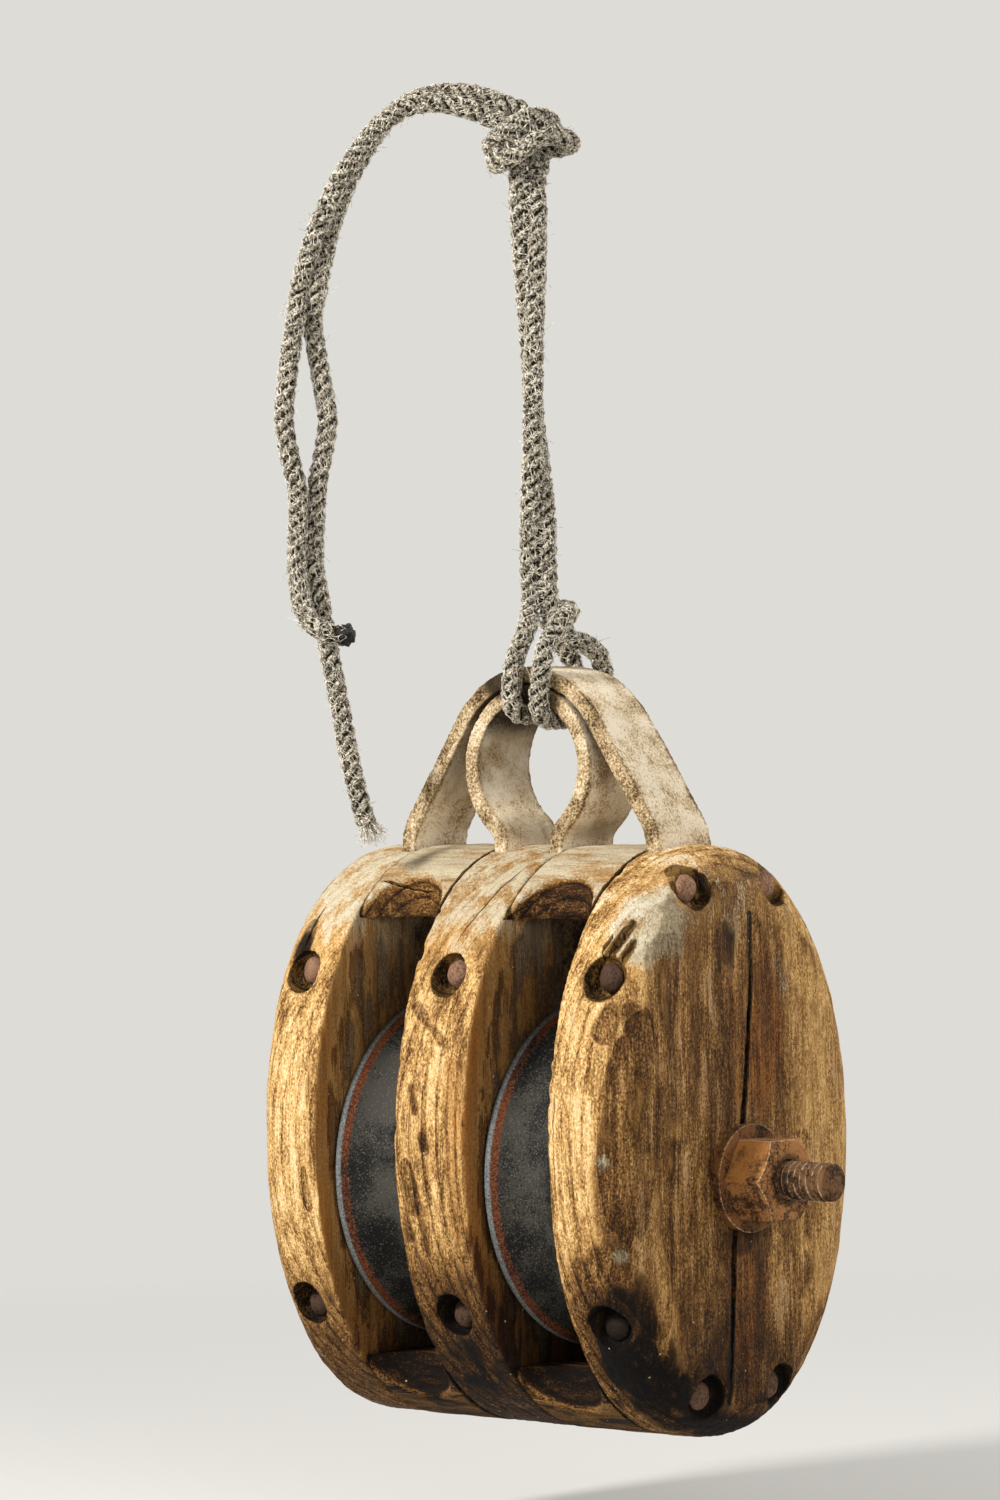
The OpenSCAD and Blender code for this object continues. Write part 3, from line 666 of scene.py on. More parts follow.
# %% Worn copies of solid pieces
def noise_at(places, size, seed=0.0):
    """Noise from -1 to 1 at places in millimetres, with features of a given size"""
    shift = Vector((seed * 17.3, seed * 5.1, seed * 9.7))
    return np.array([noise.noise(Vector(p) / size + shift) for p in places])


def even_copy(node, voxel, rounds):
    """A merged copy of a CAD node as an evenly meshed and slightly worn bmesh, in the block's millimetres"""
    bm = bmesh.new()
    bm.from_mesh(frame["nodes"][node].data)
    bmesh.ops.remove_doubles(bm, verts=bm.verts, dist=MERGE * MM)
    mesh = bpy.data.meshes.new(node + "_copy")
    bm.to_mesh(mesh)
    bm.free()
    holder = in_scene(node + "_copy", mesh)
    remesh = holder.modifiers.new("even", "REMESH")
    remesh.mode = "VOXEL"
    remesh.voxel_size = voxel * MM
    made = mesh_of(holder)
    bm = bmesh.new()
    bm.from_mesh(made)
    bpy.data.meshes.remove(made)
    for _ in range(rounds):
        bmesh.ops.smooth_vert(
            bm, verts=bm.verts, factor=0.5, use_axis_x=True, use_axis_y=True, use_axis_z=True)
    bmesh.ops.transform(bm, matrix=TO_BLOCK, verts=bm.verts)
    bm.normal_update()
    return bm


def places_and_normals(bm):
    return (np.array([tuple(v.co) for v in bm.verts]), np.array([tuple(v.normal) for v in bm.verts]))


def push(bm, amounts):
    """Moves each point along its normal, outwards where the amount is positive"""
    for vert, amount in zip(bm.verts, amounts):
        vert.co += vert.normal * float(amount)


# %% Masks and finished pieces
def set_masks(bm, masks):
    """Stores named values on the points, for the materials to read"""
    for name, values in masks.items():
        layer = bm.verts.layers.float.new(name)
        for vert, value in zip(bm.verts, values):
            vert[layer] = float(value)


def to_piece(bm, name, material, node, body="shell", sharp=40):
    """Ends a bmesh: it becomes a piece at the origin that replaces its CAD node"""
    bmesh.ops.transform(bm, matrix=TO_ROW, verts=bm.verts)
    mesh = bpy.data.meshes.new(name)
    bm.to_mesh(mesh)
    bm.free()
    mesh.shade_smooth()
    mesh.set_sharp_from_angle(angle=math.radians(sharp))
    piece = in_scene(name, mesh, material)
    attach(piece, body)
    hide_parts(node)
    return piece


# %% Checks in the wood
# The step along a check, how far it wanders sideways, and how far its mouth stands out in the open
CHECK_STEP = 3.0
CHECK_WANDER = 0.4
CHECK_MOUTH = 4


def wedge(bm, route, out, width, depth, seed):
    """Adds a closed wedge along a route, with its edge deep in the wood and its mouth in the open"""
    out = Vector(out).normalized()
    chance = random.Random(seed)
    line = evenly([Vector(p) for p in route], CHECK_STEP)
    rings = []
    for i, place in enumerate(line):
        way = (line[min(i + 1, len(line) - 1)] - line[max(i - 1, 0)]).normalized()
        across = way.cross(out).normalized()
        taper = min(1.0, 0.15 + 3.5 * min(i, len(line) - 1 - i) / len(line))
        wide = width * taper * chance.uniform(0.75, 1.2)
        middle = place + across * chance.uniform(-CHECK_WANDER, CHECK_WANDER)
        mouth = middle + out * CHECK_MOUTH
        rings.append((mouth - across * wide * 1.2, mouth + across * wide * 1.2, middle - out * depth * taper))
    face = bm.faces.new([bm.verts.new(p) for p in rings[0]])
    for ring in rings[1:]:
        grown = bmesh.ops.extrude_face_region(bm, geom=[face])["geom"]
        face = [item for item in grown if isinstance(item, bmesh.types.BMFace)][0]
        for vert, place in zip(face.verts, ring):
            vert.co = place


def cut_checks(bm, checks):
    """Cuts checks, each a route, the way out, a width and a depth, and marks their walls for painted shade"""
    cutter = bmesh.new()
    for seed, (route, out, width, depth) in enumerate(checks):
        wedge(cutter, route, out, width, depth, seed)
    bmesh.ops.recalc_face_normals(cutter, faces=cutter.faces)
    for part, value in ((cutter, 1.0), (bm, 0.0)):
        layer = part.verts.layers.float.new("crack_shade")
        for vert in part.verts:
            vert[layer] = value
    tool_mesh, body_mesh = bpy.data.meshes.new("checks"), bpy.data.meshes.new("body")
    cutter.to_mesh(tool_mesh)
    cutter.free()
    bm.to_mesh(body_mesh)
    bm.free()
    tool, holder = in_scene("checks", tool_mesh), in_scene("body", body_mesh)
    boolean = holder.modifiers.new("cut", "BOOLEAN")
    boolean.operation = "DIFFERENCE"
    boolean.object = tool
    boolean.solver = "EXACT"
    cut = mesh_of(holder)
    bpy.data.objects.remove(tool)
    bm = bmesh.new()
    bm.from_mesh(cut)
    bpy.data.meshes.remove(cut)
    return bm

# %% [markdown]
# The shell is old elm or ash: honey coloured where hands and ropes have worn it, with fine dark grain;
# brown and greasy on the cheek's flat face, where an old coat flakes off in upright patches; bleached grey
# at the top; and reddish beside the iron. Its checks and holes are darkened with painted shade, and its
# lower parts are darker, partly painted shade and partly stain and soot. Four noises at real sizes, all
# drawn out along the grain, add up to one value from dark to pale, and a colour ramp turns that into wood.
# Masks painted on the points move the value or choose another ramp, and the same noises break up the
# masks' edges.

# %% The wood's grain and colours
# Between growth rings, and how far a slow noise bends them
RING_SPACING = 5.2
RING_WARP = 12
# Four noises: how far each is drawn out along the grain, its width in mm, detail, roughness and strength
GRAIN = (
    (0.035, 4.5, 3.0, 0.66, 0.55),
    (0.30, 9.0, 9.0, 0.60, 0.5),
    (0.7, 0.9, 3.0, 0.66, 0.75),
    (0.04, 0.75, 2.0, 0.66, 0.6))
# Chips: where the ragged noise starts and ends one, and how much paler or darker it is
CHIPS = ((0.90, 0.93, 0.07), (0.80, 0.77, -0.08))
# Where each mask starts and is whole, once the noises have broken its edge
MASK_EDGES = (("stain_and_shade", 0.82, 0.85), ("bleach", 0.62, 1.0), ("rust", 0.55, 1.15), ("soot_and_shade", 0.72, 0.95))
# How far stain and painted shade darken the value
STAIN_AND_SHADE_DARKENS = -0.25
HONEY = [(0.02, "#120B06"), (0.18, "#2E1C0D"), (0.33, "#523619"), (0.45, "#76532C"), (0.57, "#9A7342"),
         (0.69, "#C2985D"), (0.82, "#DFB779"), (0.95, "#EDD3A2")]
GREY = [(0.05, "#2A2319"), (0.30, "#605240"), (0.50, "#938366"), (0.68, "#BFB194"), (0.88, "#E4DBC5")]
RED = [(0.05, "#160C06"), (0.30, "#42260F"), (0.50, "#744820"), (0.70, "#A06C34"), (0.90, "#C8985A")]
# Soot and painted shade: near black
SOOT_AND_SHADE = [(0.28, "#080503"), (0.44, "#1E1309"), (0.60, "#3F2B14"), (0.80, "#7A5A2E")]
print("the finest grain is", min(width for _, width, *_ in GRAIN), "mm wide")

# %% The wood's rings
def ring_lines(tree, grain, pith):
    """Growth rings round a pith, dark where each begins, bent by a slow noise"""
    gentle = add(tree, "Mapping", {"Vector": grain, "Scale": (1, 1, 0.12)}).outputs[0]
    warp = add(tree, "TexNoise", {"Vector": gentle, "Scale": 0.03, "Detail": 1.0}).outputs["Color"]
    bent = add(tree, "VectorMath", {
        0: warp, 1: (RING_WARP, RING_WARP, 0), 2: grain}, operation="MULTIPLY_ADD").outputs[0]
    from_pith = add(tree, "VectorMath", {0: bent, 1: (-pith[0], -pith[1], 0)}, operation="ADD").outputs[0]
    spoke = add(tree, "VectorMath", {0: from_pith, 1: (1, 1, 0)}, operation="MULTIPLY").outputs[0]
    radius = add(tree, "VectorMath", {0: spoke}, operation="LENGTH").outputs["Value"]
    rings = add(tree, "Math", {0: radius, 1: 1 / RING_SPACING}, operation="MULTIPLY").outputs[0]
    ring = add(tree, "Math", {0: rings}, operation="FRACT").outputs[0]
    return add(tree, "MapRange", {"Value": ring, "From Max": 0.4, "To Min": -0.15, "To Max": 0.02}).outputs[0]


# %% The wood's material
def weathered_wood(name, pith, level=0.60, along_x=False):
    """Old wood whose grain runs along Z, or along X for a chock, with rings about a pith outside the plank"""
    material, tree, here = new_material(name)
    grain = here
    if along_x:
        grain = add(tree, "Mapping", {"Vector": here, "Rotation": (0, math.pi / 2, 0)}).outputs[0]
    noises = []
    value = level - sum(gain for *_, gain in GRAIN) / 2
    for stretch, width, detail, rough, gain in GRAIN:
        drawn = add(tree, "Mapping", {"Vector": grain, "Scale": (1, 1, stretch)}).outputs[0]
        noises.append(add(tree, "TexNoise", {
            "Vector": drawn, "Scale": 1 / width, "Detail": detail, "Roughness": rough}).outputs[0])
        value = add(tree, "Math", {0: noises[-1], 1: gain, 2: value}, operation="MULTIPLY_ADD").outputs[0]
    streak, flake, grit, fibre = noises
    ragged = add(tree, "Math", {0: grit, 1: 0.7, 2: flake}, operation="MULTIPLY_ADD").outputs[0]
    for low, high, change in CHIPS:
        chip = add(tree, "MapRange", {"Value": ragged, "From Min": low, "From Max": high}).outputs[0]
        value = add(tree, "Math", {0: chip, 1: change, 2: value}, operation="MULTIPLY_ADD").outputs[0]

    rings = ring_lines(tree, grain, pith)
    value = add(tree, "Math", {0: value, 1: rings}, operation="ADD").outputs[0]

    masks = {label: add(tree, "Attribute", attribute_name=label).outputs["Fac"]
             for label in ("tone", "stain_and_shade", "bleach", "rust", "soot_and_shade", "crack_shade", "calm")}
    value = add(tree, "Mix", {0: masks["calm"], 2: value, 3: level}).outputs[0]
    value = add(tree, "Math", {0: value, 1: masks["tone"]}, operation="ADD").outputs[0]
    edge = add(tree, "Math", {0: flake, 1: 2.0, 2: -1.35}, operation="MULTIPLY_ADD").outputs[0]
    for source, gain in ((grit, 0.6), (fibre, 0.5), (streak, 0.3)):
        edge = add(tree, "Math", {0: source, 1: gain, 2: edge}, operation="MULTIPLY_ADD").outputs[0]
    parts = {}
    for label, low, high in MASK_EDGES:
        broken = add(tree, "Math", {0: masks[label], 1: edge}, operation="ADD").outputs[0]
        parts[label] = add(tree, "MapRange", {"Value": broken, "From Min": low, "From Max": high}).outputs[0]
    value = add(tree, "Math", {
        0: parts["stain_and_shade"], 1: STAIN_AND_SHADE_DARKENS, 2: value}, operation="MULTIPLY_ADD").outputs[0]

    base = set_ramp(add(tree, "ValToRGB", {"Fac": value}), HONEY)
    for label, stops in (("bleach", GREY), ("rust", RED), ("soot_and_shade", SOOT_AND_SHADE)):
        shade = set_ramp(add(tree, "ValToRGB", {"Fac": value}), stops)
        base = add(tree, "Mix", {0: parts[label], 6: base, 7: shade}, data_type="RGBA").outputs[2]
    # Painted shade: the checks' walls are painted near black
    deep = add(tree, "MapRange", {"Value": masks["crack_shade"], "From Min": 0.05, "From Max": 0.4}).outputs[0]
    base = add(tree, "Mix", {0: deep, 6: base, 7: colour("#0A0604")}, data_type="RGBA").outputs[2]
    dust = add(tree, "TexVoronoi", {"Vector": here, "Scale": 0.11}).outputs["Distance"]
    speck = add(tree, "MapRange", {"Value": dust, "From Min": 0.06, "From Max": 0.035}).outputs[0]
    base = add(tree, "Mix", {0: speck, 6: base, 7: colour("#B5A27C")}, data_type="RGBA").outputs[2]

    height = add(tree, "Math", {0: grit, 1: 0.8, 2: value}, operation="MULTIPLY_ADD").outputs[0]
    rough = add(tree, "MapRange", {"Value": parts["stain_and_shade"], "To Min": 0.85, "To Max": 0.68}).outputs[0]
    finish_material(tree, base, rough, height, distance=0.55 * MM, specular=0.1)
    return material


cheek_wood = weathered_wood("weathered_elm_cheek", (-120, 30))
partition_wood = weathered_wood("weathered_elm_partition", (-160, 60), level=0.57)
far_wood = weathered_wood("weathered_elm_far_cheek", (-230, 90), level=0.62)
chock_wood = weathered_wood("weathered_elm_chock", (40, 90), level=0.56, along_x=True)
print("wood finishes:", cheek_wood.name, partition_wood.name, far_wood.name, chock_wood.name)

# %% [markdown]
# Each wooden piece gets its masks from where a point is: how far inside the oval outline, on which side,
# and how near a hole. A patch is a soft ellipsoid given by its middle, its three radii and its strength,
# and a stroke is a soft line given by its two ends, its radius and its strength.

# %% The oval outline and the rivets' holes
OVAL_POWER = 2.1
WOOD_VOXEL = 1.3
# Painted shade in a hole starts and is whole at these distances from its middle, and at these depths
HOLE_EDGE = (10.8, 9.2)
HOLE_DEEP = (0.2, 2.2)
top_rivets_low, top_rivets_high = span("top_rivets")
bottom_rivets_low, bottom_rivets_high = span("bottom_rivets")
top_rivet_z = (top_rivets_low.z + top_rivets_high.z) / 2
bottom_rivet_z = (bottom_rivets_low.z + bottom_rivets_high.z) / 2
head = (top_rivets_high.z - top_rivets_low.z) / 2
top_rivet_y = top_rivets_high.y - head
bottom_rivet_y = bottom_rivets_high.y - head
cross_low, cross_high = span("near_cheek_rivets")
cross_z = (cross_high.z - head, cross_low.z + head)
print("rivets' heights from the pin:", [round(z) for z in (top_rivet_z, bottom_rivet_z, *cross_z)], "mm")


def inside(places):
    """Distance inside the oval outline, in millimetres"""
    out = (np.abs(places[:, 1]) / half_depth) ** OVAL_POWER
    out += (np.abs(places[:, 2] - shell_middle) / half_height) ** OVAL_POWER
    return (1 - out ** (1 / OVAL_POWER)) * half_depth


def hole_shade(places):
    """How much painted shade darkens the rivets' sunk holes, and 0 outside them"""
    x, y, z = places.T
    height = np.abs(z - shell_middle) / half_height
    outline = half_depth * np.clip(1 - height ** OVAL_POWER, 0, 1) ** (1 / OVAL_POWER)
    made = np.zeros(len(places))
    for at_y, at_z, strength in ((top_rivet_y, top_rivet_z, 0.62), (bottom_rivet_y, bottom_rivet_z, 1.1)):
        far = np.hypot(np.abs(y) - at_y, z - at_z)
        deep = smoothstep(*HOLE_DEEP, shell_out - np.abs(x))
        made = np.maximum(made, strength * smoothstep(*HOLE_EDGE, far) * deep)
    for at_z, strength in ((cross_z[0], 0.95), (cross_z[1], 1.15)):
        far = np.hypot(np.minimum(np.abs(x), np.abs(np.abs(x) - cheek_middle)), z - at_z)
        deep = smoothstep(*HOLE_DEEP, outline - np.abs(y))
        made = np.maximum(made, strength * smoothstep(*HOLE_EDGE, far) * deep)
    return made


# %% Patches, strokes and uneven wear
def patches(places, items):
    """The strongest of several soft ellipsoids at each place"""
    made = np.zeros(len(places))
    for middle, radii, strength in items:
        far = np.linalg.norm((places - np.array(middle)) / np.array(radii), axis=1)
        made = np.maximum(made, strength * (1 - smoothstep(0.5, 1.25, far)))
    return made


def strokes(places, items):
    """The strongest of several soft lines at each place"""
    made = np.zeros(len(places))
    for start, end, radius, strength in items:
        start, way = np.array(start), np.array(end) - np.array(start)
        along = np.clip((places - start) @ way / (way @ way), 0, 1)
        far = np.linalg.norm(places - start - along[:, None] * way, axis=1) / radius
        made = np.maximum(made, strength * (1 - smoothstep(0.4, 1.25, far)))
    return made


def wear_wood(bm, seed, slot_faces):
    """Uneven wear of a wooden piece: soft hollows, raised grain and nibbled edges"""
    places, _ = places_and_normals(bm)
    stretched = places * np.array([1, 1, 0.1])
    amounts = 0.55 * noise_at(places, 38, seed) + 0.22 * noise_at(places, 9, seed + 1)
    amounts += 0.3 * noise_at(stretched, 2.6, seed + 2)
    nibble = noise_at(places, 6.5, seed + 3)
    for face in slot_faces:
        near = 1 - smoothstep(1.0, 4.5, np.abs(places[:, 0] - face))
        rim = 1 - smoothstep(1.5, 5.0, inside(places))
        amounts -= 0.9 * near * rim * smoothstep(0.3, 0.7, nibble)
    push(bm, amounts)
    bm.normal_update()

# %% [markdown]
# The near cheek shows its broad outer face. A long check runs down it behind the washer, the wood has torn
# above the upper cross hole, and the checks and the lower cross hole are darkened with painted shade, with
# some soot round the lower one. The pale worn band follows the front edge, so its border is given in a
# distance that runs from the slot over the rounded edge and on across the face.

# %% The near cheek's colours
# Heights, with the distance at which the worn band ends there
WORN_BORDER = [(-60, 91), (-40, 89.6), (0, 90), (33, 95.5), (62, 97), (70, 112), (98, 106), (115, 100)]
# Places to the back and up, from the top to the bottom of the face
LONG_CHECK = [(6.5, 112), (5.6, 84), (1.8, 44), (-4, 5), (-7.9, -30), (-9.6, -60), (-12.4, -104)]


def near_cheek_masks(places, normals):
    face = shell_out
    x, y, z = places.T
    depth = inside(places)
    over = x + 0.85 * depth
    heights, borders = zip(*WORN_BORDER)
    past_border = smoothstep(-6, 7, over - np.interp(z, heights, borders))
    middle_face = smoothstep(40, 26, y + 0.05 * z)
    stain_and_shade = past_border * (0.50 + 0.24 * middle_face) * (1 - 0.25 * smoothstep(96, 116, z))
    stain_and_shade *= 1 - 0.42 * strokes(places, [
        ((102, -66, 10), (103, -62, -30), 8, 0.8), ((103, -62, -30), (103, -46, -78), 9, 1.0),
        ((face, -46, 52), (face, -46, 24), 6, 0.7)])
    stain_and_shade = np.maximum(stain_and_shade, patches(places, [
        ((face, 4, 103), (8, 18, 14), 0.8), ((face, -14, 97), (8, 10, 14), 0.9),
        ((face, 26, 42), (8, 11, 17), 0.8), ((face, 40, 6), (8, 12, 16), 0.78),
        ((face, 46, -18), (8, 11, 17), 0.8), ((face, 36, -44), (8, 13, 15), 0.8)]))
    facing = smoothstep(0.5, 0.95, normals[:, 0])
    slot_side = smoothstep(0.5, 0.9, -normals[:, 0])
    stain_and_shade = np.maximum(stain_and_shade, 0.6 * slot_side)
    stain_and_shade = np.maximum(stain_and_shade, strokes(places, [
        ((97, -76, 78), (92, -78, 66), 7, 0.85), ((99, -68, 74), (101, -66, 56), 7, 0.75),
        ((93, -76, -40), (90, -66, -96), 26, 0.78)]))
    # Darker towards the bottom, partly painted shade
    tone = 0.065 * past_border + 0.075 * (1 - past_border) * smoothstep(-60, -30, z)
    tone -= 0.20 * smoothstep(-15, -80, z) * (1 - facing) + 0.17 * smoothstep(-40, -85, z) * facing
    tone += 0.07 * smoothstep(24, 38, y) * facing
    tone -= 0.03 * patches(places, [
        ((face, -34, 44), (10, 22, 40), 1.0), ((face, -14, 8), (10, 34, 50), 0.7)])
    bleach = 0.2 * smoothstep(94, 118, z) + 0.06 * past_border * middle_face
    bleach = np.maximum(bleach, patches(places, [
        ((97, -54, 112), (18, 26, 22), 0.66), ((94, -81, 12), (3, 4, 3.5), 1.2),
        ((98, -77, -28), (4, 5, 4.5), 1.1), ((face, 24, 84), (8, 10, 12), 0.42)]))
    rust = patches(places, [
        ((face, 14, 62), (9, 17, 40), 0.75), ((face, -4, 56), (9, 9, 34), 0.5),
        ((face, -2, -58), (9, 13, 44), 0.65), ((face, 8, -40), (9, 9, 40), 0.5)])
    rust = np.maximum(rust, 0.45 * slot_side * (1 - smoothstep(4, 12, depth)))
    # Darker along the bottom and round the lower cross hole, partly soot and partly painted shade
    soot_and_shade = patches(places, [
        ((96, -70, -60), (18, 20, 28), 0.62), ((92, -66, -78), (26, 24, 24), 0.78),
        ((96, -54, -92), (24, 26, 18), 0.8), ((99, -34, -101), (22, 26, 14), 0.72),
        ((100, -6, -109), (20, 34, 9), 0.7), ((84, -72, -82), (16, 14, 26), 0.6),
        ((face, -2, -26), (6, 20, 9), 0.5), ((face, -12, 100), (8, 9, 12), 0.4)])
    # Painted shade along the torn checks at the top and down the long check
    soot_and_shade = np.maximum(soot_and_shade, strokes(places, [
        ((86, -66, 96.5), (91, -57, 110), 3.4, 0.85), ((92, -66, 94), (95.5, -60, 105), 2.6, 0.8),
        ((82, -64, 94), (83, -59, 104), 2.2, 0.75)]))
    soot_and_shade = np.maximum(soot_and_shade, 0.95 * strokes(places, [
        ((face, *a), (face, *b), 2.0, 1.0) for a, b in zip(LONG_CHECK, LONG_CHECK[1:])]))
    soot_and_shade = np.maximum(soot_and_shade, hole_shade(places))
    calm = np.maximum(0.08 * past_border, 0.5 * slot_side)
    calm = np.maximum(calm, patches(places, [((97, -50, 112), (22, 36, 30), 0.45)]))
    return {"tone": tone, "stain_and_shade": stain_and_shade, "bleach": bleach, "rust": rust, "soot_and_shade": soot_and_shade, "calm": calm}


# %% The near cheek
def make_near_cheek():
    face = shell_out
    bm = even_copy("near_cheek", WOOD_VOXEL, 2)
    wear_wood(bm, 1.0, [slot_outer])
    out_x, out_corner = (1, 0, 0), (0.4, -0.75, 0.5)
    bm = cut_checks(bm, [
        ([(face, *place) for place in LONG_CHECK], out_x, 1.5, 14),
        ([(86, -66.5, 96.5), (88, -64, 101), (89.5, -60, 107), (92, -56, 111)], out_corner, 2.6, 6),
        ([(92, -66, 94), (94, -63, 100), (95.5, -59.5, 105)], out_corner, 1.8, 5),
        ([(82, -64.5, 94), (82.5, -61.5, 99.5), (83, -59, 104)], out_corner, 1.8, 5),
        ([(71, -84, 60), (70.5, -86, 20), (71.5, -85, -30)], (0, -1, 0), 0.5, 1.5),
        ([(76, -84, 66), (75, -86, 30), (76, -86, 0)], (0, -1, 0), 0.5, 1.3),
        ([(face, 26, 70), (face, 25, 40), (face, 25.5, 10)], out_x, 0.4, 1.8)])
    set_masks(bm, near_cheek_masks(*places_and_normals(bm)))
    return to_piece(bm, "near_cheek_wood", cheek_wood, "near_cheek")


near_cheek = make_near_cheek()
print("near cheek:", len(near_cheek.data.polygons), "faces")

# %% [markdown]
# The partition and the far cheek show their narrow front sides: honey wood with fine upright grain, grey at
# the top, with a few dark scars, and orange streaks along the slots' edges.

# %% Masks that the partition and the far cheek share
def front_masks(places, normals, slot_faces):
    x, _, z = places.T
    depth = inside(places)
    facing_slot = smoothstep(0.5, 0.9, np.abs(normals[:, 0]))
    near_slot = np.max([1 - smoothstep(1.0, 9.0, np.abs(x - face)) for face in slot_faces], axis=0)
    facing_slot *= near_slot
    stain_and_shade = 0.52 * facing_slot * smoothstep(3, 12, depth)
    # Darker towards the bottom, partly painted shade
    stain_and_shade = np.maximum(stain_and_shade, 0.55 * smoothstep(-10, -75, z))
    bleach = 0.55 * smoothstep(84, 122, z + 8 * noise_at(places, 30, 9.0))
    bleach += 0.35 * facing_slot * smoothstep(6, 20, depth)
    rust = 0.7 * near_slot * facing_slot * (1 - smoothstep(4, 15, depth)) * smoothstep(124, 60, z)
    # The tone also falls towards the bottom, partly painted shade
    tone = 0.05 * (1 - facing_slot) - 0.02 * facing_slot - 0.13 * smoothstep(-5, -85, z)
    calm = np.maximum(0.6 * smoothstep(80, 110, z), 0.6 * facing_slot)
    return tone, stain_and_shade, bleach, rust, calm


# %% The partition and the far cheek
def make_partition():
    bm = even_copy("centre_partition", WOOD_VOXEL, 2)
    wear_wood(bm, 4.0, [-slot_inner, slot_inner])
    up_front = (0, -1, 0.75)
    bm = cut_checks(bm, [
        ([(-1.8, -67, 96), (0.4, -63.5, 104), (5.5, -54, 116), (8, -48, 121), (13.6, -30, 132)],
         up_front, 0.7, 5),
        ([(13, -86, 60), (12, -87, 20), (13, -86, -30)], (0, -1, 0), 0.5, 1.5),
        ([(16, -85, 50), (15.5, -86, 10), (16, -86, -20)], (0, -1, 0), 0.5, 1.3),
        ([(-12, -86, 10), (-12.5, -86, -20), (-12, -85, -40)], (0, -1, 0), 0.5, 1.3)])
    places, normals = places_and_normals(bm)
    z = places[:, 2]
    tone, stain_and_shade, bleach, rust, calm = front_masks(places, normals, [-slot_inner, slot_inner])
    stain_and_shade = np.maximum(stain_and_shade, strokes(places, [
        ((-14, -76, 74), (4, -80, 60), 3.2, 0.62), ((-12, -78, 60), (2, -81, 48), 2.8, 0.6),
        ((0, -74, 76), (12, -77, 68), 3.2, 0.62), ((-10, -84, 40), (-7, -85, 30), 3.2, 0.62),
        ((-3, -84, 19), (-2, -84, 14), 4.2, 0.95), ((-13, -84, 6), (-9, -85, -12), 5.0, 0.85),
        ((-16, -80, 24), (-15, -80, -24), 5.0, 0.6), ((17, -82, 60), (17, -82, -60), 3.5, 0.5)]))
    # Darker towards the bottom, partly painted shade
    stain_and_shade = np.maximum(stain_and_shade, 0.5 * smoothstep(-10, -45, z))
    rust = np.maximum(rust, 0.45 * strokes(places, [((14, -84, 50), (14, -84, -20), 7, 1.0)]))
    # The tone falls towards the bottom too, partly painted shade, with one lighter stroke
    tone -= 0.12 * smoothstep(0, -70, z) - 0.07 * strokes(places, [((-2, -83, 64), (2, -86, 30), 10, 1.0)])
    # Painted shade in the holes, and darker at the bottom, partly painted shade
    soot_and_shade = np.maximum(hole_shade(places), patches(places, [((0, -68, -92), (26, 26, 24), 0.58)]))
    set_masks(bm, {"tone": tone, "stain_and_shade": stain_and_shade, "bleach": bleach, "rust": rust, "soot_and_shade": soot_and_shade, "calm": calm})
    return to_piece(bm, "partition_wood", partition_wood, "centre_partition")


def make_far_cheek():
    bm = even_copy("far_cheek", WOOD_VOXEL, 2)
    wear_wood(bm, 7.0, [-slot_outer])
    bm = cut_checks(bm, [
        ([(-88, -70, 96), (-88, -62, 108), (-87, -54, 116)], (0, -1, 0.6), 1.4, 5),
        ([(-80, -86, 50), (-80, -87, 10), (-79, -86, -40)], (0, -1, 0), 0.5, 1.5),
        ([(-shell_out, -20, 100), (-shell_out, -14, 20), (-shell_out, -16, -70)], (-1, 0, 0), 0.9, 9)])
    places, normals = places_and_normals(bm)
    tone, stain_and_shade, bleach, rust, calm = front_masks(places, normals, [-slot_outer])
    outward = smoothstep(0.2, 0.7, -normals[:, 0])
    stain_and_shade = np.maximum(stain_and_shade, 0.60 * outward * smoothstep(8, 24, inside(places)))
    stain_and_shade = np.maximum(stain_and_shade, strokes(places, [
        ((-90, -70, 94), (-89, -64, 110), 6.5, 0.8), ((-74, -84, 2), (-73, -84, -14), 3.0, 0.8),
        ((-97, -76, 50), (-97, -78, 20), 3.5, 0.55), ((-70, -84, 70), (-70, -84, 20), 3.0, 0.5)]))
    tone += 0.08 * strokes(places, [
        ((-84, -80, 62), (-92, -82, 30), 8, 1.0), ((-82, -84, 30), (-86, -85, -30), 10, 1.0)])
    # Painted shade in the holes and beside the check at the top
    soot_and_shade = np.maximum(hole_shade(places), patches(places, [((-90, -69, 99), (7, 10, 9), 0.75)]))
    set_masks(bm, {"tone": tone, "stain_and_shade": stain_and_shade, "bleach": bleach, "rust": rust, "soot_and_shade": soot_and_shade, "calm": calm})
    return to_piece(bm, "far_cheek_wood", far_wood, "far_cheek")


partition = make_partition()
far_cheek = make_far_cheek()
print("partition:", len(partition.data.polygons), "far cheek:", len(far_cheek.data.polygons), "faces")

# %% [markdown]
# The chocks close the slots' ends. Their grain runs across, from plank to plank, and a rope has rubbed a
# hollow in the front and the back of each. Three of them have opened along the grain.

# %% The chocks
CHOCK_VOXEL = 1.0


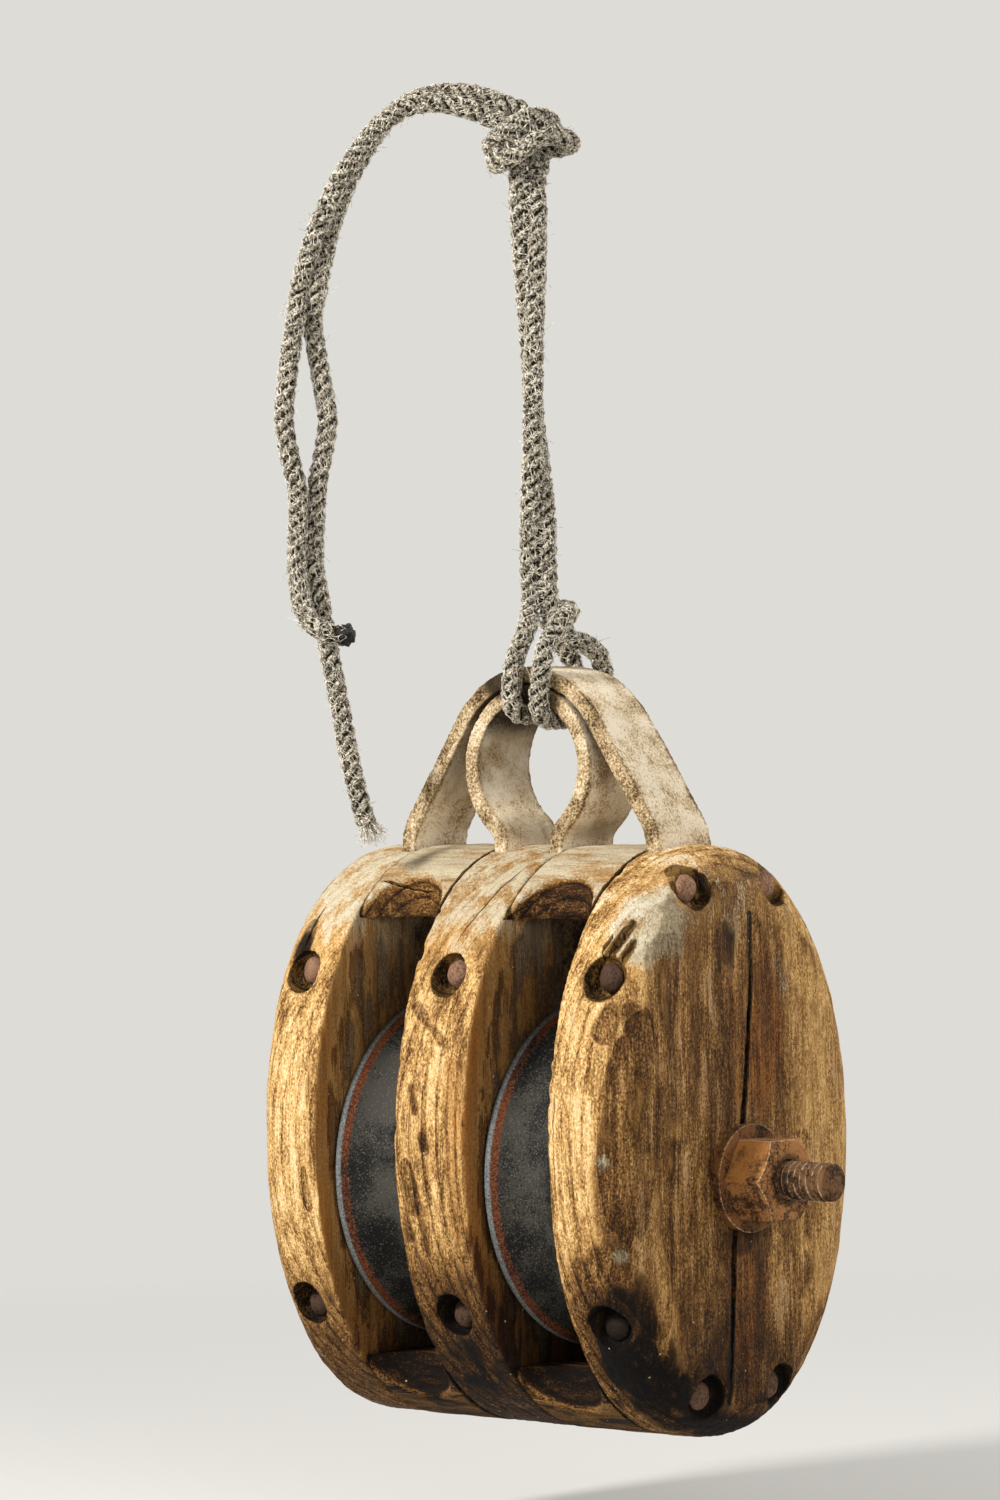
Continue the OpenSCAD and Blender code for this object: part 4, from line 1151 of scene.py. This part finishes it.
def make_chock(node, seed, scoop_stain, checks):
    bm = even_copy(node, CHOCK_VOXEL, 2)
    places, _ = places_and_normals(bm)
    stretched = places * np.array([0.12, 1, 1])
    push(bm, 0.4 * noise_at(places, 16, seed) + 0.3 * noise_at(stretched, 2.2, seed + 1))
    bm.normal_update()
    if checks:
        bm = cut_checks(bm, checks)
    places, normals = places_and_normals(bm)
    z = places[:, 2]
    depth = inside(places)
    up = 1 if z.mean() > 0 else -1
    scoop = smoothstep(1.0, 3.0, depth) * smoothstep(0.92, 0.6, np.abs(normals[:, 2]))
    seam = np.abs(np.abs(places[:, 0]) - (slot_inner + slot_outer) / 2) - (slot_outer - slot_inner) / 2
    # Lower chocks, and the faces that look into the slot, are darker, partly painted shade
    stain_and_shade = scoop_stain * scoop + (0 if up > 0 else 0.3) + 0.6 * smoothstep(0.6, 0.95, -up * normals[:, 2])
    tone = (0.06 if up > 0 else -0.12) - 0.14 * scoop
    bleach = 0.62 * smoothstep(100, 130, z) * (1 - scoop)
    # Darker towards the bottom, partly painted shade, and dark at the seams against the planks
    soot_and_shade = np.maximum(0.45 * smoothstep(-80, -104, z), smoothstep(-1.6, -0.5, seam))
    calm = 0.65 * smoothstep(100, 130, z) * (1 - scoop)
    set_masks(bm, {"tone": tone, "stain_and_shade": stain_and_shade, "bleach": bleach, "soot_and_shade": soot_and_shade, "calm": calm})
    return to_piece(bm, node + "_wood", chock_wood, node)


top_front = (0, -1, 0.5)
chocks = [
    make_chock("near_top_chock", 11.0, 0.75, []),
    make_chock("far_top_chock", 13.0, 0.5, [
        ([(-66, -44, 127.5), (-56, -42, 125.5), (-42, -40, 123.5), (-34, -38, 122)], top_front, 1.1, 6)]),
    make_chock("near_bottom_chock", 15.0, 0.5, [
        ([(28, -50, -86), (44, -46, -87), (60, -50, -88.5)], (0, -1, -0.3), 1.4, 7)]),
    make_chock("far_bottom_chock", 17.0, 0.45, [
        ([(-60, -50, -86), (-44, -46, -88), (-30, -50, -87)], (0, -1, -0.3), 1.0, 5)])]
print("chocks:", [len(c.data.polygons) for c in chocks])

# %% [markdown]
# The straps are wrought iron bars, bent and forged, with edges worn round and a skin of fine pits. A pale
# dry dust of old rust and lime covers them, rubbed off to brown along the edges. Painted shade darkens them
# inside the eye and under the crowns, dirt darkens a few patches, and they are darker where they run down
# into the slots. Iron under such a crust no longer shines, so the metallic value is low and the roughness
# high.

# %% The straps' finish
def crusted_iron():
    material, tree, here = new_material("crusted_wrought_iron")
    broad = add(tree, "TexNoise", {
        "Vector": here, "Scale": 0.07, "Detail": 8.0, "Roughness": 0.62}).outputs[0]
    fine = add(tree, "TexNoise", {"Vector": here, "Scale": 0.9, "Detail": 4.0, "Roughness": 0.7}).outputs[0]
    pits = add(tree, "TexVoronoi", {"Vector": here, "Scale": 0.55}).outputs["Distance"]
    bare = add(tree, "Attribute", attribute_name="bare").outputs["Fac"]
    dirt_and_shade = add(tree, "Attribute", attribute_name="dirt_and_shade").outputs["Fac"]
    low = add(tree, "Math", {0: broad, 1: 1.2, 2: -0.42}, operation="MULTIPLY_ADD").outputs[0]
    mix = add(tree, "Math", {0: fine, 1: 1.35, 2: low}, operation="MULTIPLY_ADD").outputs[0]
    worn = add(tree, "Math", {0: bare, 1: -0.30, 2: mix}, operation="MULTIPLY_ADD").outputs[0]
    crust = set_ramp(add(tree, "ValToRGB", {"Fac": worn}), [
        (0.36, "#33261A"), (0.50, "#6B5537"), (0.62, "#9C835E"), (0.75, "#C6AE88"), (0.95, "#E7D8BE")])
    # Dirt and painted shade turn the crust dark brown
    dirt_and_shade_sum = add(tree, "Math", {0: fine, 1: 0.8, 2: dirt_and_shade}, operation="MULTIPLY_ADD").outputs[0]
    dirt_and_shade_part = add(tree, "MapRange", {"Value": dirt_and_shade_sum, "From Min": 0.62, "From Max": 1.2}).outputs[0]
    base = add(tree, "Mix", {0: dirt_and_shade_part, 6: crust, 7: colour("#2E2318")}, data_type="RGBA").outputs[2]
    height = add(tree, "Math", {0: pits, 1: 0.5, 2: fine}, operation="MULTIPLY_ADD").outputs[0]
    finish_material(tree, base, 0.82, height, metallic=0.05, distance=0.7 * MM, specular=0.15)
    return material


strap_finish = crusted_iron()
print("strap finish:", strap_finish.name)

# %% The straps
STRAP_VOXEL = 1.15


def make_strap(node, seed):
    bm = even_copy(node, STRAP_VOXEL, 3)
    places, normals = places_and_normals(bm)
    pits = noise_at(places, 3.2, seed)
    amounts = 0.5 * noise_at(places, 26, seed + 1) - 0.45 * smoothstep(0.25, 0.6, pits)
    push(bm, amounts + 0.14 * noise_at(places, 1.9, seed + 2))
    half_width = span(node)[1].y
    x, y, z = places.T
    edge = smoothstep(half_width - 3.5, half_width, np.abs(y)) * smoothstep(0.97, 0.6, np.abs(normals[:, 1]))
    edge = np.maximum(edge, 0.75 * smoothstep(0.5, 0.9, -normals[:, 1]))
    # Painted shade under the crowns and inside the eye; the patches are dirt
    under_shade = smoothstep(0.0, -0.8, normals[:, 2]) * smoothstep(shell_top, shell_top + 45, z)
    eye_inside_shade = smoothstep(0.1, 0.7, -np.sign(x) * normals[:, 0]) * smoothstep(shell_top + 4, shell_top + 30, z)
    dirt_and_shade = np.maximum(np.maximum(0.8 * under_shade, 0.42 * eye_inside_shade), patches(places, [
        ((4, -4, 204), (20, 30, 12), 0.8), ((-16, -16, 214), (10, 12, 9), 0.75),
        ((0, 0, 150), (40, 30, 10), 0.4)]))
    # Darker and browner where the strap runs down into the slot
    in_slot = 1 - smoothstep(shell_top - 30, shell_top - 8, z)
    set_masks(bm, {"bare": np.maximum(edge, in_slot), "dirt_and_shade": np.maximum(dirt_and_shade, 0.45 * in_slot)})
    bm.normal_update()
    return to_piece(bm, node + "_iron", strap_finish, node, sharp=60)


outer_strap = make_strap("outer_strap", 21.0)
eye_strap = make_strap("eye_strap", 24.0)
print("straps:", len(outer_strap.data.polygons), len(eye_strap.data.polygons), "faces")

# %% [markdown]
# The pin, its nut and the washers are plain rolled iron, rusted through brown to orange. The nut gets
# painted light: a painted highlight on its facets that face up and to the front, painted shade on those
# that face down, and a ring of painted shade round the thread. The thread is a real helix: a finely divided
# cylinder whose points are moved in and out with their place along the pin and their angle round it. Its
# crests are rubbed bright.

# %% Rusted iron
def rusted_iron(name, dark, middle, light, bright):
    material, tree, here = new_material(name)
    broad = add(tree, "TexNoise", {"Vector": here, "Scale": 0.09, "Detail": 4.0, "Roughness": 0.6}).outputs[0]
    fine = add(tree, "TexNoise", {"Vector": here, "Scale": 0.8, "Detail": 6.0, "Roughness": 0.7}).outputs[0]
    mix = add(tree, "Math", {0: fine, 1: 0.9, 2: broad}, operation="MULTIPLY_ADD").outputs[0]
    rust = set_ramp(add(tree, "ValToRGB", {"Fac": mix}), [
        (0.76, dark), (0.92, middle), (1.0, light)])
    # Painted highlight: the marked facets turn a lit orange
    painted_light = add(tree, "Attribute", attribute_name="painted_light").outputs["Fac"]
    painted_light_sum = add(tree, "Math", {0: broad, 1: painted_light}, operation="MULTIPLY").outputs[0]
    highlighted = add(tree, "MapRange", {"Value": painted_light_sum, "From Min": 0.35, "From Max": 0.6}).outputs[0]
    rust = add(tree, "Mix", {0: highlighted, 6: rust, 7: colour("#B57A3E")}, data_type="RGBA").outputs[2]
    crest = add(tree, "Attribute", attribute_name="crest").outputs["Fac"]
    rub = add(tree, "Math", {0: fine, 1: crest}, operation="MULTIPLY").outputs[0]
    rubbed = add(tree, "MapRange", {"Value": rub, "From Min": 0.3, "From Max": 0.6}).outputs[0]
    base = add(tree, "Mix", {0: rubbed, 6: rust, 7: colour(bright)}, data_type="RGBA").outputs[2]
    # Soot and painted shade darken the rust to near black
    soot_and_shade = add(tree, "Attribute", attribute_name="soot_and_shade").outputs["Fac"]
    base = add(tree, "Mix", {0: soot_and_shade, 6: base, 7: colour("#120B07")}, data_type="RGBA").outputs[2]
    finish_material(tree, base, 0.72, fine, metallic=0.1, distance=0.5 * MM, specular=0.15)
    return material


nut_finish = rusted_iron("rusted_nut_iron", "#26170C", "#67452A", "#A57242", "#D6B78C")
washer_finish = rusted_iron("rusted_washer_iron", "#1E120A", "#4C3018", "#744C2A", "#C09A6C")
thread_finish = rusted_iron("rusted_thread_iron", "#180F09", "#48301C", "#6E4F32", "#B09A7E")
rivet_finish = rusted_iron("rusted_rivet_iron", "#22120A", "#5C3A28", "#8A6048", "#A07A60")
print("iron finishes:", nut_finish.name, washer_finish.name, thread_finish.name, rivet_finish.name)

# %% The nut and the washers
NUT_VOXEL = 0.4
WASHER_VOXEL = 0.5
# An outer edge starts and is whole where a point stands this far out from its neighbours
EDGE_STANDS_OUT = (0.008, 0.035)


def worn_edges(bm):
    """1 on outer edges and 0 on flats, from how far a point stands out from its neighbours"""
    out = []
    for vert in bm.verts:
        around = [edge.other_vert(vert).co for edge in vert.link_edges]
        out.append((vert.co - sum(around, Vector()) / len(around)).dot(vert.normal))
    return smoothstep(*EDGE_STANDS_OUT, np.array(out))


def make_iron(node, voxel, rounds, material, seed, relief, soot_and_shade=0.0, darker_below=0.0, painted_light=0.0):
    """A worn copy of a small iron piece"""
    bm = even_copy(node, voxel, rounds)
    places, normals = places_and_normals(bm)
    edges = worn_edges(bm)
    push(bm, relief * noise_at(places, 5.5, seed) + 0.5 * relief * noise_at(places, 1.8, seed + 1))
    # Painted light on the nut: painted shade round the thread and on facets that face down, and a painted
    # highlight on facets that face up and to the front
    pin_ring_shade = 0.75 * painted_light * smoothstep(12.5, 9.5, np.hypot(places[:, 1], places[:, 2]))
    shade = pin_ring_shade + 0.8 * painted_light * smoothstep(0.1, 0.8, normals @ np.array((0, 0.3, -0.95)))
    set_masks(bm, {"crest": edges, "soot_and_shade": soot_and_shade + shade + darker_below * smoothstep(20, -20, places[:, 2]),
                   "painted_light": 0.96 * painted_light * smoothstep(0.5, 0.9, normals @ np.array((0.1, -0.75, 0.65)))})
    bm.normal_update()
    return to_piece(bm, node + "_iron", material, node, sharp=55)


nut = make_iron("pin_nut", NUT_VOXEL, 0, nut_finish, 31.0, relief=0.12, painted_light=1.0)
washers = [make_iron(node, WASHER_VOXEL, 1, washer_finish, 33.0 + i, relief=0.14)
           for i, node in enumerate(("nut_washer", "head_washer"))]
print("nut:", len(nut.data.polygons), "washers:", [len(w.data.polygons) for w in washers], "faces")

# %% The pin's head and shank
def make_pin():
    """The head and shank keep the CAD shape up to the middle of the nut"""
    nut_low, nut_high = span("pin_nut")
    bm = bmesh.new()
    bm.from_mesh(frame["nodes"]["pin_bolt"].data)
    bmesh.ops.transform(bm, matrix=TO_BLOCK, verts=bm.verts)
    bmesh.ops.remove_doubles(bm, verts=bm.verts, dist=MERGE)
    split = (nut_low.x + nut_high.x) / 2
    bmesh.ops.bisect_plane(bm, geom=bm.verts[:] + bm.edges[:] + bm.faces[:], plane_co=(split, 0, 0),
                           plane_no=(1, 0, 0), clear_outer=True)
    bmesh.ops.holes_fill(bm, edges=bm.edges)
    return to_piece(bm, "pin_head_and_shank", nut_finish, "pin_bolt", sharp=30), split


shank, thread_start = make_pin()
print("head and shank:", len(shank.data.polygons), "faces")

# %% The thread
THREAD_PITCH = 3.2
THREAD_DEPTH = 1.15
# Points round it, cuts along it, and the length over which its end fades out
THREAD_ROUND = 72
THREAD_CUTS = 110
THREAD_LEAD = 2.5


def make_thread(start):
    end = span("pin_bolt")[1].x
    radius = next(m for m in frame["record"]["mounts"] if m["name"] == "pin_thread_end")["dims"]["r_mm"]
    bm = bmesh.new()
    long = end - start
    bmesh.ops.create_cone(bm, segments=THREAD_ROUND, cap_ends=True, cap_tris=False,
                          radius1=radius, radius2=radius, depth=long)
    sides = [e for e in bm.edges if abs(e.verts[0].co.z - e.verts[1].co.z) > 1]
    bmesh.ops.subdivide_edges(bm, edges=sides, cuts=THREAD_CUTS, use_grid_fill=True)
    end_cap = [f for f in bm.faces if len(f.verts) > 4 and f.calc_center_median().z > 0]
    bmesh.ops.inset_region(bm, faces=end_cap, thickness=1.6, depth=0.5)
    crest = bm.verts.layers.float.new("crest")
    for vert in bm.verts:
        along = vert.co.z + long / 2
        around = math.atan2(vert.co.y, vert.co.x)
        reach = math.hypot(vert.co.x, vert.co.y)
        wave = 0.5 + 0.5 * math.cos(2 * math.pi * (along / THREAD_PITCH - around / (2 * math.pi)))
        ridge = wave ** 1.5
        lead = min(1.0, max(0.0, (long - along - 0.4) / THREAD_LEAD))
        wander = noise.noise(Vector((along, around * 8, 3.0)) / 3.0)
        if reach > radius - 1.0:
            shrink = THREAD_DEPTH * (1 - ridge) * lead + 0.35 * (1 - lead) + 0.15 * wander
            scale = (radius - shrink) / reach
            vert.co.x *= scale
            vert.co.y *= scale
            vert[crest] = min(1.0, max(0.0, ridge * 1.6 - 0.75 + 0.5 * wander))
    on_pin = Matrix.Translation(((start + end) / 2, 0, 0)) @ Matrix.Rotation(math.pi / 2, 4, "Y")
    bmesh.ops.transform(bm, matrix=on_pin, verts=bm.verts)
    bmesh.ops.transform(bm, matrix=TO_ROW, verts=bm.verts)
    mesh = bpy.data.meshes.new("pin_thread")
    bm.to_mesh(mesh)
    bm.free()
    mesh.shade_smooth()
    mesh.set_sharp_from_angle(angle=math.radians(50))
    piece = in_scene("pin_thread", mesh, thread_finish)
    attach(piece, "shell")
    return piece


thread = make_thread(thread_start)
print("thread:", len(thread.data.polygons), "faces")

# %% [markdown]
# The rivets' heads sit deep in their holes: hammered domes with a pinkish rust, darkened in their holes
# with soot and painted shade, and darker still lower down, partly painted shade. The roves under them are
# plain rusty rings. All of them are worn copies as well.

# %% Rivets and roves
RIVET_VOXEL = 0.85
# How dark each is all over with soot and painted shade, and how much darker below the middle, partly painted shade
RIVET_SOOT_AND_SHADE = {
    "top_rivets": (0.0, 0.0), "bottom_rivets": (0.6, 0.0), "near_cheek_rivets": (0.8, 0.17),
    "partition_rivets": (0.15, 0.6), "far_cheek_rivets": (0.2, 0.6), "through_rivet_roves": (0.6, 0.0),
    "cross_rivet_roves": (0.6, 0.0)}
for seed, (node, (soot_and_shade, darker_below)) in enumerate(RIVET_SOOT_AND_SHADE.items()):
    made = make_iron(node, RIVET_VOXEL, 1, rivet_finish, 41.0 + seed, relief=0.5,
                     soot_and_shade=soot_and_shade, darker_below=darker_below)
    print(made.name, len(made.data.polygons), "faces")

# %% [markdown]
# The sheaves are cast iron, turned on a lathe, so each is one section spun round the pin. A raised ring
# runs round the side, with red primer left on it, next to the bare grey edge of the rim. The side itself is
# nearly black, under a film of dust and rust specks. The radius from the pin picks the zone in the
# material, and the piece turns with its own body.

# %% The sheaves' finish
RED_BAND = 3.2
sheave_low, sheave_high = span("near_sheave")
rim_radius = (sheave_high.z - sheave_low.z) / 2


def sheave_iron():
    material, tree, here = new_material("cast_sheave_iron")
    parts = add(tree, "SeparateXYZ", {0: here})
    flat = add(tree, "CombineXYZ", {1: parts.outputs[1], 2: parts.outputs[2]}).outputs[0]
    radius = add(tree, "VectorMath", {0: flat}, operation="LENGTH").outputs["Value"]
    broad = add(tree, "TexNoise", {"Vector": here, "Scale": 0.03, "Detail": 4.0, "Roughness": 0.6}).outputs[0]
    fine = add(tree, "TexNoise", {"Vector": here, "Scale": 1.1, "Detail": 5.0, "Roughness": 0.75}).outputs[0]
    grain = add(tree, "Math", {0: broad, 1: 1.2, 2: fine}, operation="MULTIPLY_ADD").outputs[0]
    grain = add(tree, "Math", {0: grain, 1: 0.17}, operation="SUBTRACT").outputs[0]
    side = set_ramp(add(tree, "ValToRGB", {"Fac": grain}), [
        (0.72, "#0B0B0B"), (0.88, "#1A1A18"), (1.0, "#423F39")])
    specks = add(tree, "TexVoronoi", {"Vector": here, "Scale": 0.8}).outputs["Distance"]
    dots = add(tree, "MapRange", {"Value": specks, "From Min": 0.25, "From Max": 0.12}).outputs[0]
    side = add(tree, "Mix", {0: dots, 6: side, 7: colour("#6F6552")}, data_type="RGBA").outputs[2]
    edge_place = add(tree, "Math", {0: fine, 1: 2.0, 2: radius}, operation="MULTIPLY_ADD").outputs[0]
    red_low = add(tree, "MapRange", {"Value": edge_place, "From Min": rim_radius - RED_BAND + 0.7,
                                     "From Max": rim_radius - RED_BAND + 1.5}).outputs[0]
    worn_off = add(tree, "Math", {0: broad, 1: 1.6, 2: fine}, operation="MULTIPLY_ADD").outputs[0]
    kept = add(tree, "MapRange", {"Value": worn_off, "From Min": 1.05, "From Max": 1.35}).outputs[0]
    red_part = add(tree, "Math", {0: red_low, 1: kept}, operation="MULTIPLY").outputs[0]
    red = set_ramp(add(tree, "ValToRGB", {"Fac": fine}), [
        (0.35, "#331C10"), (0.52, "#6F3B20"), (0.68, "#94603C")])
    base = add(tree, "Mix", {0: red_part, 6: side, 7: red}, data_type="RGBA").outputs[2]
    rim_low = add(tree, "MapRange", {"Value": radius, "From Min": rim_radius - 0.75,
                                     "From Max": rim_radius - 0.35}).outputs[0]
    rim = set_ramp(add(tree, "ValToRGB", {"Fac": fine}), [(0.38, "#3E4040"), (0.62, "#848886")])
    base = add(tree, "Mix", {0: rim_low, 6: base, 7: rim}, data_type="RGBA").outputs[2]
    finish_material(tree, base, 0.62, fine, metallic=0.05, distance=0.4 * MM, specular=0.15)
    return material


sheave_finish = sheave_iron()
print("sheaves are", round(2 * rim_radius, 1), "mm across, in", sheave_finish.name)

# %% The sheaves
SIDE_RING = 5.0
SIDE_DISH = 1.5
GROOVE_DEPTH = 10.0
GROOVE_POINTS = 8
RIM_WIDTH = 3.5
HUB_RADIUS = 23.0
HUB_PROUD = 1.5
WEB_MIDDLE = 45
SHEAVE_STEPS = 160
bush_low, bush_high = span("near_bush")
bore_radius = (bush_high.z - bush_low.z) / 2
hub_half = (sheave_high.x - sheave_low.x) / 2
rim_half = hub_half - HUB_PROUD


def make_sheave(node, body):
    low, high = span(node)
    middle = (low.x + high.x) / 2
    groove_half = rim_half - RIM_WIDTH
    groove_radius = (groove_half ** 2 + GROOVE_DEPTH ** 2) / (2 * GROOVE_DEPTH) + 1
    side = [(bore_radius, hub_half), (HUB_RADIUS - 0.8, hub_half), (HUB_RADIUS, hub_half - 0.8),
            (HUB_RADIUS + 1, rim_half - SIDE_DISH), (WEB_MIDDLE, rim_half - SIDE_DISH),
            (rim_radius - SIDE_RING - 1.6, rim_half - SIDE_DISH),
            (rim_radius - SIDE_RING - 0.6, rim_half - 0.5), (rim_radius - SIDE_RING + 0.4, rim_half),
            (rim_radius - 1.2, rim_half), (rim_radius - 0.35, rim_half - 0.35), (rim_radius, rim_half - 1.2),
            (rim_radius, groove_half + 1.2), (rim_radius - 0.4, groove_half + 0.4)]
    for k in range(GROOVE_POINTS + 1):
        across = groove_half * (1 - k / GROOVE_POINTS)
        floor = rim_radius - GROOVE_DEPTH + groove_radius - math.sqrt(groove_radius ** 2 - across ** 2)
        side.append((floor, across))
    outline = side + [(r, -a) for r, a in reversed(side[:-1])]
    bm = bmesh.new()
    ring = [bm.verts.new((middle + a, 0, r)) for r, a in outline]
    edges = [bm.edges.new((a, b)) for a, b in zip(ring, ring[1:] + ring[:1])]
    bmesh.ops.spin(bm, geom=ring + edges, cent=(0, 0, 0), axis=(1, 0, 0), angle=2 * math.pi,
                   steps=SHEAVE_STEPS, use_merge=True)
    bmesh.ops.remove_doubles(bm, verts=bm.verts, dist=MERGE)
    bmesh.ops.recalc_face_normals(bm, faces=bm.faces)
    return to_piece(bm, node + "_iron", sheave_finish, node, body=body, sharp=35)


sheaves = [make_sheave("near_sheave", "near_sheave"), make_sheave("far_sheave", "far_sheave")]
print("sheaves:", [len(s.data.polygons) for s in sheaves])

# %% [markdown]
# The bushes are hidden inside the hubs, and their CAD shape is right as it is. They keep it, with a turned
# bronze finish.

# %% The bushes
def turned_bronze():
    material, tree, here = new_material("turned_bronze")
    fine = add(tree, "TexNoise", {"Vector": here, "Scale": 0.6, "Detail": 4.0}).outputs[0]
    shade = set_ramp(add(tree, "ValToRGB", {"Fac": fine}), [(0.3, "#6B4A22"), (0.7, "#B08443")])
    finish_material(tree, shade, 0.4, fine, metallic=0.9, distance=0.1 * MM)
    return material


bronze = turned_bronze()
for node in ("near_bush", "far_bush"):
    frame["nodes"][node].data.materials.clear()
    frame["nodes"][node].data.materials.append(bronze)
print("bushes are", bronze.name)

# %% [markdown]
# The stage is a plain pale floor below the hanging block. It is a wide disc that turns into the
# background's own colour far out, so that no edge shows. The camera, reflections and clear things see the
# background at its full strength, while all other rays get a dimmer one, so that it lights the block only
# gently. A large soft lamp from the front left models the wood, a weaker one from the right fills the
# cheek's face, and a third from behind draws the outline.

# %% The floor
FLOOR_DROP = 0.05
FLOOR_RADIUS = 9.0
# Where the floor starts to turn into the background, and where it has
FLOOR_FADE = (0.45, 1.3)
BACKGROUND = "#DEDCD7"


def make_floor():
    bm = bmesh.new()
    bmesh.ops.create_circle(bm, cap_ends=True, segments=96, radius=FLOOR_RADIUS)
    bmesh.ops.translate(bm, verts=bm.verts, vec=(0, 0, cad_low.z - FLOOR_DROP))
    mesh = bpy.data.meshes.new("floor")
    bm.to_mesh(mesh)
    bm.free()
    material = bpy.data.materials.new("pale_floor")
    material.use_nodes = True
    tree = material.node_tree
    tree.nodes.clear()
    place = add(tree, "TexCoord").outputs["Object"]
    out = add(tree, "VectorMath", {0: place}, operation="LENGTH").outputs["Value"]
    start, end = FLOOR_FADE
    far = add(tree, "MapRange", {"Value": out, "From Min": start, "From Max": end}).outputs[0]
    near_shader = add(tree, "BsdfPrincipled", {"Base Color": colour("#CFCDC8"), "Roughness": 0.9}).outputs[0]
    far_shader = add(tree, "Emission", {"Color": colour(BACKGROUND), "Strength": 1.0}).outputs[0]
    mixed = add(tree, "MixShader", {0: far, 1: near_shader, 2: far_shader}).outputs[0]
    add(tree, "OutputMaterial", {"Surface": mixed})
    floor = in_scene("floor", mesh, material)
    return floor


floor = make_floor()
print("floor at", round(cad_low.z - FLOOR_DROP, 3), "m, with", len(floor.data.polygons), "face")

# %% The background and the lamps
WORLD_LEVEL = 0.40
# Each lamp: its place and size in metres, and its power in watts
LAMPS = {
    "key": ((-0.55, -1.7, 0.75), 0.5, 60),
    "fill": ((1.9, -0.9, 0.2), 1.2, 17),
    "rim": ((0.7, 1.6, 0.9), 0.8, 26)}


def make_world():
    world = bpy.data.worlds.new("studio")
    world.use_nodes = True
    tree = world.node_tree
    tree.nodes.clear()
    rays = add(tree, "LightPath").outputs
    seen = rays["Is Camera Ray"]
    for kind in ("Is Glossy Ray", "Is Transmission Ray"):
        seen = add(tree, "Math", {0: seen, 1: rays[kind]}, operation="MAXIMUM").outputs[0]
    level = add(tree, "MapRange", {"Value": seen, "To Min": WORLD_LEVEL, "To Max": 1.0}).outputs[0]
    add(tree, "OutputWorld", {"Surface": add(tree, "Background", {
        "Color": colour(BACKGROUND), "Strength": level}).outputs[0]})
    bpy.context.scene.world = world


def make_lamp(name, place, aim, size, watts):
    data = bpy.data.lights.new(name, "AREA")
    data.shape = "DISK"
    data.size = size
    data.energy = watts
    lamp = bpy.data.objects.new(name, data)
    lamp.location = place
    lamp.rotation_euler = (Vector(aim) - Vector(place)).to_track_quat("-Z", "Y").to_euler()
    bpy.context.scene.collection.objects.link(lamp)


make_world()
for name, (place, size, watts) in LAMPS.items():
    make_lamp(name, place, (cad_low + cad_high) / 2, size, watts)
print("background at", WORLD_LEVEL, "and lamps", list(LAMPS))

# %% [markdown]
# Last, the CAD model's box is printed.

# %% The CAD box
print("CAD box", [round(c, 4) for c in (*cad_low, *cad_high)])
